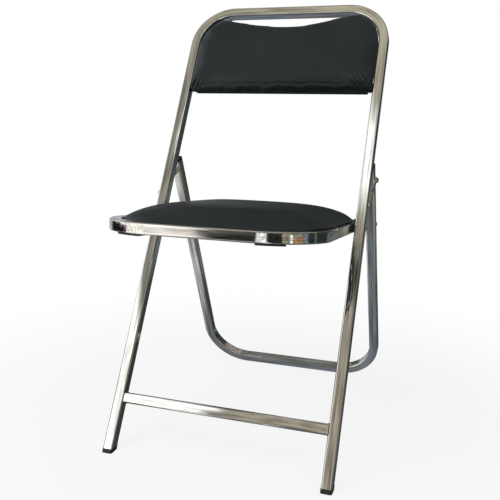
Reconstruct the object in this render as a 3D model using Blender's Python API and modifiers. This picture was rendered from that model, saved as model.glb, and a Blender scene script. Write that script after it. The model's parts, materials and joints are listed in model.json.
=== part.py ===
"""Padded folding chair: two chrome square-tube frames, a seat rim, links and vinyl-covered pads.

Lengths are in metres, +Z is up, the chair faces -Y and stands open on z = 0.
Run with blender --background --python part.py, or from the text editor.
"""
import math

import bmesh
import bpy
from mathutils import Vector

# Square tube of both frames, the rung and the seat rim
TUBE = 0.019
TUBE_WALL = 0.0012
TUBE_CORNER = 0.0026

# Front frame: an inverted U that leans back and carries the backrest
FRAME_WIDTH = 0.420
FRONT_LENGTH = 0.934
FRONT_LEAN = math.radians(28.35)
FRONT_BEND = 0.0775
RUNG_HEIGHT = 0.096

# Rear frame: a U that leans forward, its closed end on the floor
REAR_LEAN = math.radians(24.9)
REAR_BEND = 0.0875

# Seat rim and the fold: the rim turns on the front frame and on the rear frame
SEAT_PIVOT = 0.456
SEAT_TILT = math.radians(4.8)
SEAT_FRONT = 0.298
SEAT_BEND = 0.095
RAIL_LENGTH = 0.1349
SEAT_TAIL = 0.018
SEAT_GAP = 0.0031
LINK_OFFSET = 0.046
FOLD_GAP = 0.0015

# Links, rivets and washers of the fold
LINK_WIDTH = 0.013
LINK_THICK = 0.0025
SHANK = 0.0030
HEAD_RADIUS = 0.0042
HEAD_HEIGHT = 0.0024
LEG_HEAD_RADIUS = 0.0055
LEG_HEAD_HEIGHT = 0.0040
TAIL_RADIUS = 0.0046
TAIL_END_RADIUS = 0.0037
TAIL_HEIGHT = 0.0014
WASHER_RADIUS = 0.0075

# Plastic feet, caps and plugs in the tube ends
FOOT_HEIGHT = 0.0065
FOOT_LIP = 0.0006
CAP_HEIGHT = 0.0045
CAP_CLEAR = 0.0021
CAP_PLUG_SHARE = 0.45
PLUG_DEPTH = 0.012
PLUG_HEAD = 0.0025

# Seat panel, its supports and its pad
SEAT_CLEAR = 0.0008
BOARD_THICK = 0.008
BOARD_REAR = 0.140
BOARD_CORNER = 0.030
PLATE_THICK = 0.0022
PLATE_SETBACK = 0.0012
PLATE_REACH = 0.030
PLATE_START = 276.0
PLATE_END = 302.0
STRAP_DEPTH = 0.026
STRAP_PLACE = 0.108
SEAT_CROWN = 0.0258
SEAT_EDGE = 0.0040
SEAT_FOOT_DRAW = 0.004
SEAT_EDGE_DRAW = 0.004
SEAT_SPREAD = 0.011

# Backrest panel, its tabs and its pad
BACK_BOTTOM = 0.7275
BACK_SIDE_GAP = 0.0008
BACK_TOP_GAP = 0.0008
HAND_SLOT = 0.0305
HAND_SLOT_WIDTH = 0.320
BACK_BOARD_THICK = 0.006
BACK_BOARD_INSET = 0.010
BACK_EDGE = 0.0200
BACK_CROWN = 0.0085
BACK_FOOT_DRAW = 0.0035
BACK_EDGE_DRAW = 0.0015
BACK_SPREAD = 0.0055
TAB_WIDTH = 0.042
TAB_LAP = 0.012
TAB_HEIGHT = 0.020
TAB_THICK = 0.002
TAB_LOW = 0.752
TAB_HIGH = 0.826
TAB_SCREW = 0.010

# Fullness of the pads: a higher power is flatter on top and steeper at the sides
SEAT_FULL_ACROSS = 4.0
SEAT_FULL_ALONG = 5.0
BACK_FULL_ACROSS = 5.0
BACK_FULL_UP = 4.0
PAD_SHOULDER = 0.6

# Screws of the seat panel and the backrest
SCREW_SHANK = 0.0020
SCREW_HEAD = 0.0042
SCREW_HEAD_HEIGHT = 0.0022
SCREW_BITE = 0.0045

# Clearances: between pieces that meet, and round a shank in its hole
GAP = 0.0003
BORE_GAP = 0.0004

# Facets of round shapes
CORNER_STEPS = 2
BEND_STEPS = 9
ROUND_STEPS = 16
HOLE_STEPS = 20
SCREW_STEPS = 12
PAD_COLUMNS = 10
PAD_ROWS = 10
PAD_ROW_GROWTH = 1.35
BOARD_STEPS = 4
LINK_STEPS = 10
HEAD_STEPS = 3
BACK_STEPS = 28

# Finishes: base colour, roughness, metallic
CHROME = ((0.62, 0.60, 0.57, 1.0), 0.12, 1.0)
STEEL = ((0.42, 0.43, 0.44, 1.0), 0.30, 1.0)
BLACKED = ((0.022, 0.021, 0.022, 1.0), 0.45, 0.4)
VINYL = ((0.030, 0.033, 0.035, 1.0), 0.45, 0.0)
PLASTIC = ((0.018, 0.016, 0.020, 1.0), 0.50, 0.0)
PANEL = ((0.060, 0.050, 0.042, 1.0), 0.75, 0.0)

WELD = 0.00002
CUT_REACH = 0.06
HARD_EDGE = math.radians(35.0)
SIDES = (("left", -1), ("right", 1))

# Places that follow from the sizes above
HALF_TUBE = TUBE / 2
LEG_X = FRAME_WIDTH / 2 - HALF_TUBE
INNER_X = FRAME_WIDTH / 2 - TUBE
OUTER_X = FRAME_WIDTH / 2
SEAT_HALF = INNER_X - SEAT_GAP
RAIL_X = SEAT_HALF - HALF_TUBE
PLUG_SIZE = TUBE - 2 * TUBE_WALL - 2 * GAP
SEAT_INSET = GAP + TAIL_HEIGHT + SEAT_CLEAR
BACK_PAD_FOOT = -HALF_TUBE + BACK_BOARD_THICK + GAP
HOLE = SHANK + BORE_GAP
SCREW_HOLE = SCREW_SHANK + BORE_GAP


def side_vector(angle):
    """Direction in the side plane (y, z), measured from +Z towards +Y."""
    return Vector((math.sin(angle), math.cos(angle)))


class Fold:
    """Pivots of the four-bar fold in the side plane, open and closing flat."""

    def __init__(self):
        up = side_vector(FRONT_LEAN)
        behind = side_vector(FRONT_LEAN + math.pi / 2)
        leg = side_vector(-REAR_LEAN)
        rail = side_vector(math.pi / 2 + SEAT_TILT)
        self.seat = SEAT_PIVOT * up
        self.link = (SEAT_PIVOT + LINK_OFFSET) * up
        # The rear leg runs down to the floor from its pivot on the seat rail
        self.rear = self.seat + RAIL_LENGTH * rail
        self.rear_place = self.rear.y / leg.y
        # Folded, the rear legs lie flat behind the front ones: this sets the leg's upper pivot
        depth = TUBE + FOLD_GAP
        drop = math.sqrt(RAIL_LENGTH ** 2 - depth ** 2)
        folded_rear = self.seat - drop * up + depth * behind
        gain = (folded_rear - self.link).length_squared - (self.rear - self.link).length_squared
        slope = (self.rear - self.link).dot(leg) - (folded_rear - self.link).dot(up)
        self.leg_length = gain / (2 * slope)
        self.leg = self.rear + self.leg_length * leg
        self.link_length = (self.leg - self.link).length
        # The rear legs' caps end a clearance behind the front frame
        ahead = HALF_TUBE * side_vector(-REAR_LEAN - math.pi / 2)
        room = (self.leg + ahead).dot(behind) - HALF_TUBE - CAP_CLEAR
        self.leg_top = room / math.sin(FRONT_LEAN + REAR_LEAN) - CAP_HEIGHT - GAP
        reach = self.leg - self.link
        self.link_angle = math.atan2(reach.x, reach.y)
        folded_leg = folded_rear + self.leg_length * up
        swing = folded_leg - self.link
        self.seat_turn = math.atan2(depth, -drop) - math.atan2((self.rear - self.seat).dot(behind),
                                                               (self.rear - self.seat).dot(up))
        self.link_turn = math.atan2(swing.dot(behind), swing.dot(up)) - (self.link_angle - FRONT_LEAN)
        self.rear_turn = FRONT_LEAN + REAR_LEAN


FOLD = Fold()


# Scene, finishes and placing
def clear_scene():
    """Remove every object, so that the chair stands alone."""
    for item in list(bpy.data.objects):
        bpy.data.objects.remove(item, do_unlink=True)


def new_collection(name):
    """Add a collection to the scene."""
    collection = bpy.data.collections.new(name)
    bpy.context.scene.collection.children.link(collection)
    return collection


def finish(item, look):
    """Give an object its own Principled material."""
    colour, roughness, metallic = look
    material = bpy.data.materials.new(item.name + "_finish")
    material.use_nodes = True
    shader = material.node_tree.nodes["Principled BSDF"]
    shader.inputs["Base Color"].default_value = colour
    shader.inputs["Roughness"].default_value = roughness
    shader.inputs["Metallic"].default_value = metallic
    material.diffuse_color = colour
    item.data.materials.clear()
    item.data.materials.append(material)


class Chair:
    """The collections and the empties that the pieces hang on."""

    def __init__(self):
        self.parts = new_collection("padded_folding_chair")
        self.guides = new_collection("cutters_and_guides")
        self.root = self.empty("chair_origin", None, (0.0, 0.0), 0.0)
        upright = math.pi / 2
        self.front = self.empty("front_axes", self.root, (0.0, 0.0), upright - FRONT_LEAN)
        self.seat = self.empty("seat_hinge", self.root, FOLD.seat, -SEAT_TILT)
        self.link = self.empty("link_hinge", self.root, FOLD.link, upright - FOLD.link_angle)
        self.rear = self.empty("rear_hinge", self.root, FOLD.leg, upright + REAR_LEAN)
        bpy.context.view_layer.update()

    def empty(self, name, parent, place, turn):
        """An empty in the side plane, turned about X."""
        item = bpy.data.objects.new(name, None)
        item.empty_display_size = 0.03
        item.location = (0.0, place[0], place[1])
        item.rotation_euler = (turn, 0.0, 0.0)
        item.parent = parent
        self.guides.objects.link(item)
        return item

    def add(self, item, name, parent, look, place=(0.0, 0.0, 0.0), turn=(0.0, 0.0, 0.0)):
        """Name a piece, hang it on an empty and give it its finish."""
        item.name = name
        item.data.name = name
        item.parent = parent
        item.location = place
        item.rotation_euler = turn
        if item.name not in self.parts.objects:
            self.parts.objects.link(item)
        finish(item, look)
        return item

    def cutter(self, item, parent, place=(0.0, 0.0, 0.0), turn=(0.0, 0.0, 0.0)):
        """Keep a shape as a hidden cutter."""
        item.name = "cutter"
        item.parent = parent
        item.location = place
        item.rotation_euler = turn
        item.hide_render = True
        item.display_type = "WIRE"
        self.guides.objects.link(item)
        return item


def smooth(mesh):
    """Shade round faces smooth and keep true edges sharp."""
    mesh.shade_smooth()
    mesh.set_sharp_from_angle(angle=HARD_EDGE)


# Outlines, as lists of points in a plane
def arc(centre, radius, start, end, steps):
    """Points of an arc, ends included, angles in degrees."""
    angles = [math.radians(start + (end - start) * k / steps) for k in range(steps + 1)]
    return [(centre[0] + radius * math.cos(a), centre[1] + radius * math.sin(a)) for a in angles]


def circle(radius, centre=(0.0, 0.0), steps=HOLE_STEPS):
    """Points of a closed circle."""
    return arc(centre, radius, 0.0, 360.0, steps)[:-1]


def rounded_square(size, radius):
    """A square with round corners, about the origin."""
    inset = size / 2 - radius
    corners = ((inset, inset, 0), (-inset, inset, 90), (-inset, -inset, 180), (inset, -inset, 270))
    points = []
    for x, y, start in corners:
        points += arc((x, y), radius, start, start + 90, CORNER_STEPS)
    return points


def u_path(half, open_end, closed_end, radius):
    """Centreline of a U: two legs from the open end, bends of one radius and a bar at the closed end."""
    way = 1.0 if closed_end > open_end else -1.0
    middle = closed_end - way * radius
    quarter = arc((half - radius, 0.0), radius, 0.0, 90.0, BEND_STEPS)
    right = [(half, open_end)] + [(x, middle + way * y) for x, y in quarter]
    return [(-x, y) for x, y in right] + right[::-1]


# Shapes
def to_mesh(item):
    """Turn a curve object into a mesh object and weld its caps."""
    bpy.context.view_layer.update()
    graph = bpy.context.evaluated_depsgraph_get()
    mesh = bpy.data.meshes.new_from_object(item.evaluated_get(graph))
    work = bmesh.new()
    work.from_mesh(mesh)
    bmesh.ops.remove_doubles(work, verts=work.verts, dist=WELD)
    bmesh.ops.recalc_face_normals(work, faces=work.faces)
    work.to_mesh(mesh)
    work.free()
    mesh.materials.clear()
    smooth(mesh)
    solid = bpy.data.objects.new("solid", mesh)
    solid.matrix_world = item.matrix_world.copy()
    bpy.data.objects.remove(item, do_unlink=True)
    return solid


def outline_curve(outlines):
    """A flat curve of closed outlines; the inner ones are holes."""
    curve = bpy.data.curves.new("outline", "CURVE")
    curve.dimensions = "2D"
    for outline in outlines:
        spline = curve.splines.new("POLY")
        spline.points.add(len(outline) - 1)
        spline.use_cyclic_u = True
        for point, (x, y) in zip(spline.points, outline):
            point.co = (x, y, 0.0, 1.0)
    item = bpy.data.objects.new("outline", curve)
    bpy.context.scene.collection.objects.link(item)
    return item


def plate(outlines, thickness):
    """A flat piece, half its thickness to each side of its outline."""
    item = outline_curve(outlines)
    item.data.fill_mode = "BOTH"
    item.data.extrude = thickness / 2
    return to_mesh(item)


def tube(path):
    """A hollow square tube along a flat path."""
    section = outline_curve([rounded_square(TUBE, TUBE_CORNER)])
    section.data.fill_mode = "NONE"
    curve = bpy.data.curves.new("path", "CURVE")
    curve.dimensions = "3D"
    curve.twist_mode = "Z_UP"
    curve.bevel_mode = "OBJECT"
    curve.bevel_object = section
    spline = curve.splines.new("POLY")
    spline.points.add(len(path) - 1)
    for point, (x, y) in zip(spline.points, path):
        point.co = (x, y, 0.0, 1.0)
    item = bpy.data.objects.new("path", curve)
    bpy.context.scene.collection.objects.link(item)
    solid = to_mesh(item)
    bpy.data.objects.remove(section, do_unlink=True)
    wall = solid.modifiers.new("wall", "SOLIDIFY")
    wall.thickness = TUBE_WALL
    wall.offset = -1.0
    wall.use_even_offset = True
    return solid


def turned(profile, steps=ROUND_STEPS):
    """A turned piece about local Z, its profile listed from the top down."""
    mesh = bpy.data.meshes.new("profile")
    points = [(radius, 0.0, z) for radius, z in profile]
    mesh.from_pydata(points, [(k, k + 1) for k in range(len(points) - 1)], [])
    item = bpy.data.objects.new("turned", mesh)
    screw = item.modifiers.new("turn", "SCREW")
    screw.axis = "Z"
    screw.steps = steps
    screw.render_steps = steps
    screw.use_merge_vertices = True
    screw.merge_threshold = WELD
    screw.use_smooth_shade = True
    return item


def cylinder(radius, length, steps=HOLE_STEPS):
    """A plain cylinder along local Z, about its middle."""
    mesh = bpy.data.meshes.new("cylinder")
    work = bmesh.new()
    bmesh.ops.create_cone(work, cap_ends=True, segments=steps, radius1=radius, radius2=radius, depth=length)
    work.to_mesh(mesh)
    work.free()
    return bpy.data.objects.new("cylinder", mesh)


def box(size):
    """A plain box about its middle."""
    mesh = bpy.data.meshes.new("box")
    work = bmesh.new()
    bmesh.ops.create_cube(work, size=1.0)
    bmesh.ops.scale(work, vec=size, verts=work.verts)
    work.to_mesh(mesh)
    work.free()
    return bpy.data.objects.new("box", mesh)


def combine(item, other, operation):
    """Add a Boolean modifier."""
    step = item.modifiers.new(operation.lower(), "BOOLEAN")
    step.operation = operation
    step.object = other
    step.solver = "EXACT"


def drill_across(chair, item, parent, place, radius=HOLE):
    """Drill a cross hole through both legs of a frame, along X."""
    tool = cylinder(radius, FRAME_WIDTH + TUBE)
    chair.cutter(tool, parent, (0.0, place, 0.0), (0.0, math.pi / 2, 0.0))
    combine(item, tool, "DIFFERENCE")


def dome(radius, height):
    """Profile of a round head from its crown to its rim, resting on z = 0."""
    angles = [math.pi / 2 * k / HEAD_STEPS for k in range(HEAD_STEPS + 1)]
    return [(radius * math.sin(a), height * math.cos(a)) for a in angles]


def tail(depth):
    """Profile of a rivet's peened tail that starts a depth below z = 0."""
    low = -depth - TAIL_HEIGHT
    return [(TAIL_RADIUS, -depth), (TAIL_END_RADIUS, low), (0.0, low)]


def rivet(grip, peened, radius=HEAD_RADIUS, height=HEAD_HEIGHT):
    """A round-head rivet: head above z = 0, shank down through the grip, its end peened or flush."""
    end = tail(grip) if peened else [(0.0, -grip)]
    return turned(dome(radius, height) + [(SHANK, 0.0), (SHANK, -grip)] + end)


def screw():
    """A round-head screw: head below z = 0, shank up into the panel."""
    profile = [(0.0, SCREW_BITE), (SCREW_SHANK, SCREW_BITE), (SCREW_SHANK, 0.0)]
    profile += [(radius, -z) for radius, z in reversed(dome(SCREW_HEAD, SCREW_HEAD_HEIGHT))]
    return turned(profile, SCREW_STEPS)


def pillow(surface):
    """A soft closed form: a box cage laid out by a formula of (u, v, t) and subdivided once."""
    mesh = bpy.data.meshes.new("pillow")
    work = bmesh.new()
    bmesh.ops.create_grid(work, x_segments=PAD_COLUMNS, y_segments=PAD_ROWS, size=1.0)
    raised = bmesh.ops.extrude_face_region(work, geom=work.faces[:])["geom"]
    top = [item for item in raised if isinstance(item, bmesh.types.BMVert)]
    bmesh.ops.translate(work, verts=top, vec=(0.0, 0.0, 1.0))
    upright = [edge for edge in work.edges if abs(edge.verts[0].co.z - edge.verts[1].co.z) > 0.5]
    bmesh.ops.subdivide_edges(work, edges=upright, cuts=1, use_grid_fill=True)
    for vertex in work.verts:
        vertex.co = surface(*vertex.co)
    bmesh.ops.recalc_face_normals(work, faces=work.faces)
    work.to_mesh(mesh)
    work.free()
    mesh.shade_smooth()
    item = bpy.data.objects.new("pillow", mesh)
    soft = item.modifiers.new("soft", "SUBSURF")
    soft.levels = 1
    soft.render_levels = 1
    return item


# Pieces of the front frame
def build_front(chair):
    """Front frame, rung and feet; the legs are cut level with the floor above the feet."""
    frame = tube(u_path(LEG_X, -TUBE, FRONT_LENGTH - HALF_TUBE, FRONT_BEND))
    chair.add(frame, "front_frame", chair.front, CHROME)
    for place in (SEAT_PIVOT, SEAT_PIVOT + LINK_OFFSET):
        drill_across(chair, frame, chair.front, place)
    span = (FRAME_WIDTH + TUBE, 2 * CUT_REACH)
    level = chair.cutter(box((*span, CUT_REACH)), chair.root, (0.0, 0.0, FOOT_HEIGHT - CUT_REACH / 2))
    combine(frame, level, "DIFFERENCE")
    rung_x = INNER_X - GAP
    rung = tube([(-rung_x, RUNG_HEIGHT), (rung_x, RUNG_HEIGHT)])
    chair.add(rung, "front_rung", chair.front, CHROME)
    sole = FOOT_HEIGHT - GAP
    layer = chair.cutter(box((*span, sole)), chair.root, (0.0, 0.0, sole / 2))
    for side, way in SIDES:
        foot = plate([rounded_square(TUBE + 2 * FOOT_LIP, TUBE_CORNER + FOOT_LIP)], CUT_REACH)
        foot.data.transform(turn_to_y(way * LEG_X, 0.0))
        chair.add(foot, f"front_foot_{side}", chair.front, PLASTIC)
        combine(foot, layer, "INTERSECT")
        low = PLUG_SIZE / 2 * math.tan(FRONT_LEAN) + TUBE_WALL
        high = low + FOOT_HEIGHT / math.cos(FRONT_LEAN) + PLUG_DEPTH
        plug = plate([rounded_square(PLUG_SIZE, TUBE_CORNER - TUBE_WALL)], high - low)
        plug.data.transform(turn_to_y(way * LEG_X, (low + high) / 2))
        chair.cutter(plug, chair.front)
        combine(foot, plug, "UNION")


def end_cap(chair, parent, place, height, depth):
    """A plastic cap on a tube's end: a head as wide as the tube and a plug down inside it, along local Y."""
    x, y = place
    head = plate([rounded_square(TUBE, TUBE_CORNER)], height)
    head.data.transform(turn_to_y(x, y + height / 2))
    plug_length = depth + height / 2
    plug = plate([rounded_square(PLUG_SIZE, TUBE_CORNER - TUBE_WALL)], plug_length)
    plug.data.transform(turn_to_y(x, y + height / 2 - plug_length / 2))
    chair.cutter(plug, parent)
    combine(head, plug, "UNION")
    return head


def turn_to_y(x, y):
    """Matrix that stands a flat plate across local Y at a place."""
    from_z = Vector((0.0, 0.0, 1.0)).rotation_difference(Vector((0.0, 1.0, 0.0))).to_matrix().to_4x4()
    from_z.translation = (x, y, 0.0)
    return from_z


# Pieces of the rear frame
def build_rear(chair):
    """Rear frame and the caps in its upper ends, placed from its upper pivot."""
    upper = FOLD.rear_place + FOLD.leg_length
    inset = HALF_TUBE - TUBE_CORNER
    lift = inset * (math.cos(REAR_LEAN) + math.sin(REAR_LEAN)) + TUBE_CORNER
    bar = lift / math.cos(REAR_LEAN) - upper
    frame = tube(u_path(LEG_X, FOLD.leg_top, bar, REAR_BEND))
    chair.add(frame, "rear_frame", chair.rear, CHROME)
    for place in (0.0, -FOLD.leg_length):
        drill_across(chair, frame, chair.rear, place)
    plug_depth = CAP_PLUG_SHARE * FOLD.leg_top
    for side, way in SIDES:
        cap = end_cap(chair, chair.rear, (way * LEG_X, FOLD.leg_top + GAP), CAP_HEIGHT, plug_depth)
        chair.add(cap, f"rear_cap_{side}", chair.rear, PLASTIC)


# Pieces of the seat
def seat_outline(inset, rear):
    """Outline of a panel inside the rim, inset from the rim's outer side."""
    half = SEAT_HALF - inset
    front = -SEAT_FRONT + inset
    radius = SEAT_BEND + HALF_TUBE - inset
    points = arc((half - BOARD_CORNER, rear - BOARD_CORNER), BOARD_CORNER, 0.0, 90.0, BOARD_STEPS)
    points += arc((-half + BOARD_CORNER, rear - BOARD_CORNER), BOARD_CORNER, 90.0, 180.0, BOARD_STEPS)
    points += arc((-half + radius, front + radius), radius, 180.0, 270.0, BEND_STEPS)
    points += arc((half - radius, front + radius), radius, 270.0, 360.0, BEND_STEPS)
    return points


def bend_place(radius, angle):
    """A place on the right front bend of the seat, by radius and angle in degrees."""
    bend = SEAT_BEND + HALF_TUBE
    turn = math.radians(angle)
    return SEAT_HALF - bend + radius * math.cos(turn), -SEAT_FRONT + bend + radius * math.sin(turn)


def seat_screw_places():
    """Where the screws come up through the corner plates and the strap."""
    x, y = bend_place(SEAT_BEND - HALF_TUBE - PLATE_REACH / 2, (PLATE_START + PLATE_END) / 2)
    return [(-x, y), (x, y), (-x, STRAP_PLACE), (x, STRAP_PLACE)]


def build_seat(chair):
    """Seat rim, plugs, corner plates, strap, panel, pad and screws."""
    reach = RAIL_LENGTH + SEAT_TAIL
    rim = tube(u_path(RAIL_X, reach, -SEAT_FRONT + HALF_TUBE, SEAT_BEND))
    chair.add(rim, "seat_frame", chair.seat, CHROME)
    for place in (0.0, RAIL_LENGTH):
        drill_across(chair, rim, chair.seat, place)
    below = -HALF_TUBE - GAP
    plate_place = (0.0, 0.0, below - PLATE_THICK / 2)
    holes = seat_screw_places()
    for side, way in SIDES:
        plug = end_cap(chair, chair.seat, (way * RAIL_X, reach + GAP), PLUG_HEAD, PLUG_DEPTH)
        chair.add(plug, f"seat_plug_{side}", chair.seat, PLASTIC)
        hole = circle(SCREW_HOLE, (way * holes[1][0], holes[1][1]))
        corner = plate([corner_outline(way), hole], PLATE_THICK)
        chair.add(corner, f"seat_corner_plate_{side}", chair.seat, BLACKED, plate_place)
    strap_half = SEAT_HALF - PLATE_SETBACK
    strap_outline = [(-strap_half, -STRAP_DEPTH / 2), (strap_half, -STRAP_DEPTH / 2),
                     (strap_half, STRAP_DEPTH / 2), (-strap_half, STRAP_DEPTH / 2)]
    strap = plate([strap_outline] + [circle(SCREW_HOLE, (x, 0.0)) for x, _ in holes[2:]], PLATE_THICK)
    chair.add(strap, "seat_rear_strap", chair.seat, BLACKED, (0.0, STRAP_PLACE, below - PLATE_THICK / 2))
    floor = below + GAP
    panel = [seat_outline(TUBE + SEAT_INSET, BOARD_REAR)] + [circle(SCREW_HOLE, place) for place in holes]
    board = plate(panel, BOARD_THICK)
    chair.add(board, "seat_board", chair.seat, PANEL, (0.0, 0.0, floor + BOARD_THICK / 2))
    chair.add(pillow(seat_pad_point), "seat_pad", chair.seat, VINYL, (0.0, 0.0, floor + BOARD_THICK + GAP))
    head = below - PLATE_THICK - GAP
    for name, place in zip(("front_left", "front_right", "rear_left", "rear_right"), holes):
        chair.add(screw(), f"seat_screw_{name}", chair.seat, STEEL, (*place, head))


def corner_outline(way):
    """A corner plate under the rim's bend, reaching inwards under the panel."""
    outer = SEAT_BEND + HALF_TUBE - PLATE_SETBACK
    inner = SEAT_BEND - HALF_TUBE - PLATE_REACH
    angles = [PLATE_START + (PLATE_END - PLATE_START) * k / BEND_STEPS for k in range(BEND_STEPS + 1)]
    points = [bend_place(outer, angle) for angle in angles]
    points += [bend_place(inner, angle) for angle in reversed(angles)]
    return [(way * x, y) for x, y in points]


def seat_pad_point(u, v, t):
    """Seat pad: drawn in at its foot and at its front edge, spread over the rails, with a flat dome."""
    draw = (SEAT_FOOT_DRAW, 0.0, SEAT_EDGE_DRAW)[round(2 * t)]
    inset = TUBE + SEAT_INSET + draw
    half = SEAT_HALF - inset
    front = -SEAT_FRONT + inset
    rear = BOARD_REAR - draw
    bend = SEAT_BEND + HALF_TUBE - inset
    along = (v + 1) / 2
    y = front + (rear - front) * along ** PAD_ROW_GROWTH
    width = half
    if y < front + bend:
        width = half - bend + math.sqrt(max(bend ** 2 - (front + bend - y) ** 2, 0.0))
    if y > rear - BOARD_CORNER:
        width = half - BOARD_CORNER + math.sqrt(max(BOARD_CORNER ** 2 - (y - rear + BOARD_CORNER) ** 2, 0.0))
    across = math.sin(u * math.pi / 2)
    edge = HALF_TUBE + SEAT_EDGE - (BOARD_THICK - HALF_TUBE) - GAP
    if t < 1.0:
        return Vector((width * across, y, edge * t))
    length = 2 * (y - front) / (rear - front) - 1
    rise = (1 - abs(across) ** SEAT_FULL_ACROSS) * (1 - abs(length) ** SEAT_FULL_ALONG)
    spread = SEAT_SPREAD * min((y - front) / bend, 1.0)
    return Vector(((width + spread) * across, y, edge + SEAT_CROWN * rise ** PAD_SHOULDER))


# Pieces of the backrest
def back_top(x, draw):
    """Top edge of the backrest at x: the frame's bend at the corners, a wide arc under the hand slot."""
    half, bend, _, high = back_sizes(draw)
    chord = HAND_SLOT_WIDTH / 2
    radius = (chord ** 2 + HAND_SLOT ** 2) / (2 * HAND_SLOT)
    slot = high - HAND_SLOT + radius - math.sqrt(radius ** 2 - x ** 2)
    corner = high - bend + math.sqrt(max(bend ** 2 - max(abs(x) - half + bend, 0.0) ** 2, 0.0))
    return min(slot, corner)


def back_sizes(draw):
    """Half width, bend radius, bottom and top of the backrest, drawn in by an amount."""
    half = INNER_X - BACK_SIDE_GAP - draw
    high = FRONT_LENGTH - TUBE - BACK_TOP_GAP - draw
    bend = FRONT_BEND - HALF_TUBE - BACK_SIDE_GAP - draw
    return half, bend, BACK_BOTTOM + draw, high


def back_pad_point(u, v, t):
    """Back pad in the frame's plane: drawn in at the panel, its front edge spread over the uprights."""
    draw = (BACK_FOOT_DRAW, 0.0, BACK_EDGE_DRAW)[round(2 * t)]
    half, _, low, _ = back_sizes(draw)
    across = math.sin(u * math.pi / 2)
    x = half * across
    y = low + (back_top(x, draw) - low) * (v + 1) / 2
    depth = BACK_EDGE - BACK_PAD_FOOT
    x += (0.0, 0.0, BACK_SPREAD)[round(2 * t)] * across * (1 - ((v + 1) / 2) ** 2)
    if t < 1.0:
        return Vector((x, y, depth * t))
    rise = (1 - abs(across) ** BACK_FULL_ACROSS) * (1 - abs(v) ** BACK_FULL_UP)
    return Vector((x, y, depth + BACK_CROWN * rise ** PAD_SHOULDER))


def back_board_outline():
    """Outline of the panel behind the pad, from its lower left round to its upper left."""
    half, _, low, _ = back_sizes(BACK_BOARD_INSET)
    places = [half * math.cos(math.pi * k / BACK_STEPS) for k in range(BACK_STEPS + 1)]
    return [(-half, low), (half, low)] + [(x, back_top(x, BACK_BOARD_INSET)) for x in places]


def build_back(chair):
    """Backrest panel flush with the frame's back, its pad, and tabs that lap onto the frame's back."""
    chair.add(pillow(back_pad_point), "back_pad", chair.front, VINYL, (0.0, 0.0, BACK_PAD_FOOT))
    tab_x = INNER_X + TAB_LAP - TAB_WIDTH / 2
    screw_x = INNER_X + TAB_LAP - TAB_WIDTH + TAB_SCREW
    holes = [(way * screw_x, y) for y in (TAB_LOW, TAB_HIGH) for _, way in SIDES]
    board = plate([back_board_outline()] + [circle(SCREW_HOLE, place) for place in holes], BACK_BOARD_THICK)
    chair.add(board, "back_board", chair.front, PANEL, (0.0, 0.0, -HALF_TUBE + BACK_BOARD_THICK / 2))
    tab_z = -HALF_TUBE - GAP - TAB_THICK / 2
    head = tab_z - TAB_THICK / 2 - GAP
    outline = [(-TAB_WIDTH / 2, -TAB_HEIGHT / 2), (TAB_WIDTH / 2, -TAB_HEIGHT / 2),
               (TAB_WIDTH / 2, TAB_HEIGHT / 2), (-TAB_WIDTH / 2, TAB_HEIGHT / 2)]
    for name, y in (("lower", TAB_LOW), ("upper", TAB_HIGH)):
        for side, way in SIDES:
            tab = plate([outline, circle(SCREW_HOLE, (way * (screw_x - tab_x), 0.0))], TAB_THICK)
            chair.add(tab, f"back_tab_{name}_{side}", chair.front, STEEL, (way * tab_x, y, tab_z))
            chair.add(screw(), f"back_screw_{name}_{side}", chair.front, STEEL, (way * screw_x, y, head))


# Links, rivets and washers
def build_fold(chair):
    """Links, rivets and washers on both sides."""
    across = {-1: (0.0, -math.pi / 2, 0.0), 1: (0.0, math.pi / 2, 0.0)}
    outline = arc((0.0, FOLD.link_length), LINK_WIDTH / 2, 0.0, 180.0, LINK_STEPS)
    outline += arc((0.0, 0.0), LINK_WIDTH / 2, 180.0, 360.0, LINK_STEPS)
    link_grip = 2 * GAP + LINK_THICK + TUBE
    seat_grip = 2 * GAP + 2 * TUBE + SEAT_GAP
    washers = (("seat", chair.front, SEAT_PIVOT), ("rear", chair.rear, -FOLD.leg_length))
    for side, way in SIDES:
        link = plate([outline, circle(HOLE), circle(HOLE, (0.0, FOLD.link_length))], LINK_THICK)
        link.data.transform(turn_to_x())
        link_x = way * (OUTER_X + GAP + LINK_THICK / 2)
        chair.add(link, f"link_{side}", chair.link, CHROME, (link_x, 0.0, 0.0))
        link_head = way * (OUTER_X + 2 * GAP + LINK_THICK)
        tube_head = way * (OUTER_X + GAP)
        chair.add(rivet(link_grip, False), f"link_rivet_{side}", chair.front, STEEL,
                  (link_head, SEAT_PIVOT + LINK_OFFSET, 0.0), across[way])
        pin = rivet(link_grip + GAP, True, LEG_HEAD_RADIUS, LEG_HEAD_HEIGHT)
        chair.add(pin, f"leg_rivet_{side}", chair.rear, STEEL, (link_head, 0.0, 0.0), across[way])
        chair.add(rivet(seat_grip, True), f"seat_rivet_{side}", chair.front, STEEL,
                  (tube_head, SEAT_PIVOT, 0.0), across[way])
        chair.add(rivet(TUBE + SEAT_GAP, False), f"rear_rivet_{side}", chair.rear, STEEL,
                  (tube_head, -FOLD.leg_length, 0.0), across[way])
        pin = turned([(0.0, 0.0), (SHANK, 0.0), (SHANK, -TUBE - GAP)] + tail(TUBE + GAP))
        chair.add(pin, f"rear_rivet_tail_{side}", chair.seat, STEEL,
                  (way * SEAT_HALF, RAIL_LENGTH, 0.0), across[way])
        for name, parent, place in washers:
            ring = plate([circle(WASHER_RADIUS), circle(HOLE)], SEAT_GAP - 2 * GAP)
            chair.add(ring, f"{name}_washer_{side}", parent, PLASTIC,
                      (way * (INNER_X - SEAT_GAP / 2), place, 0.0), across[way])


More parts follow.
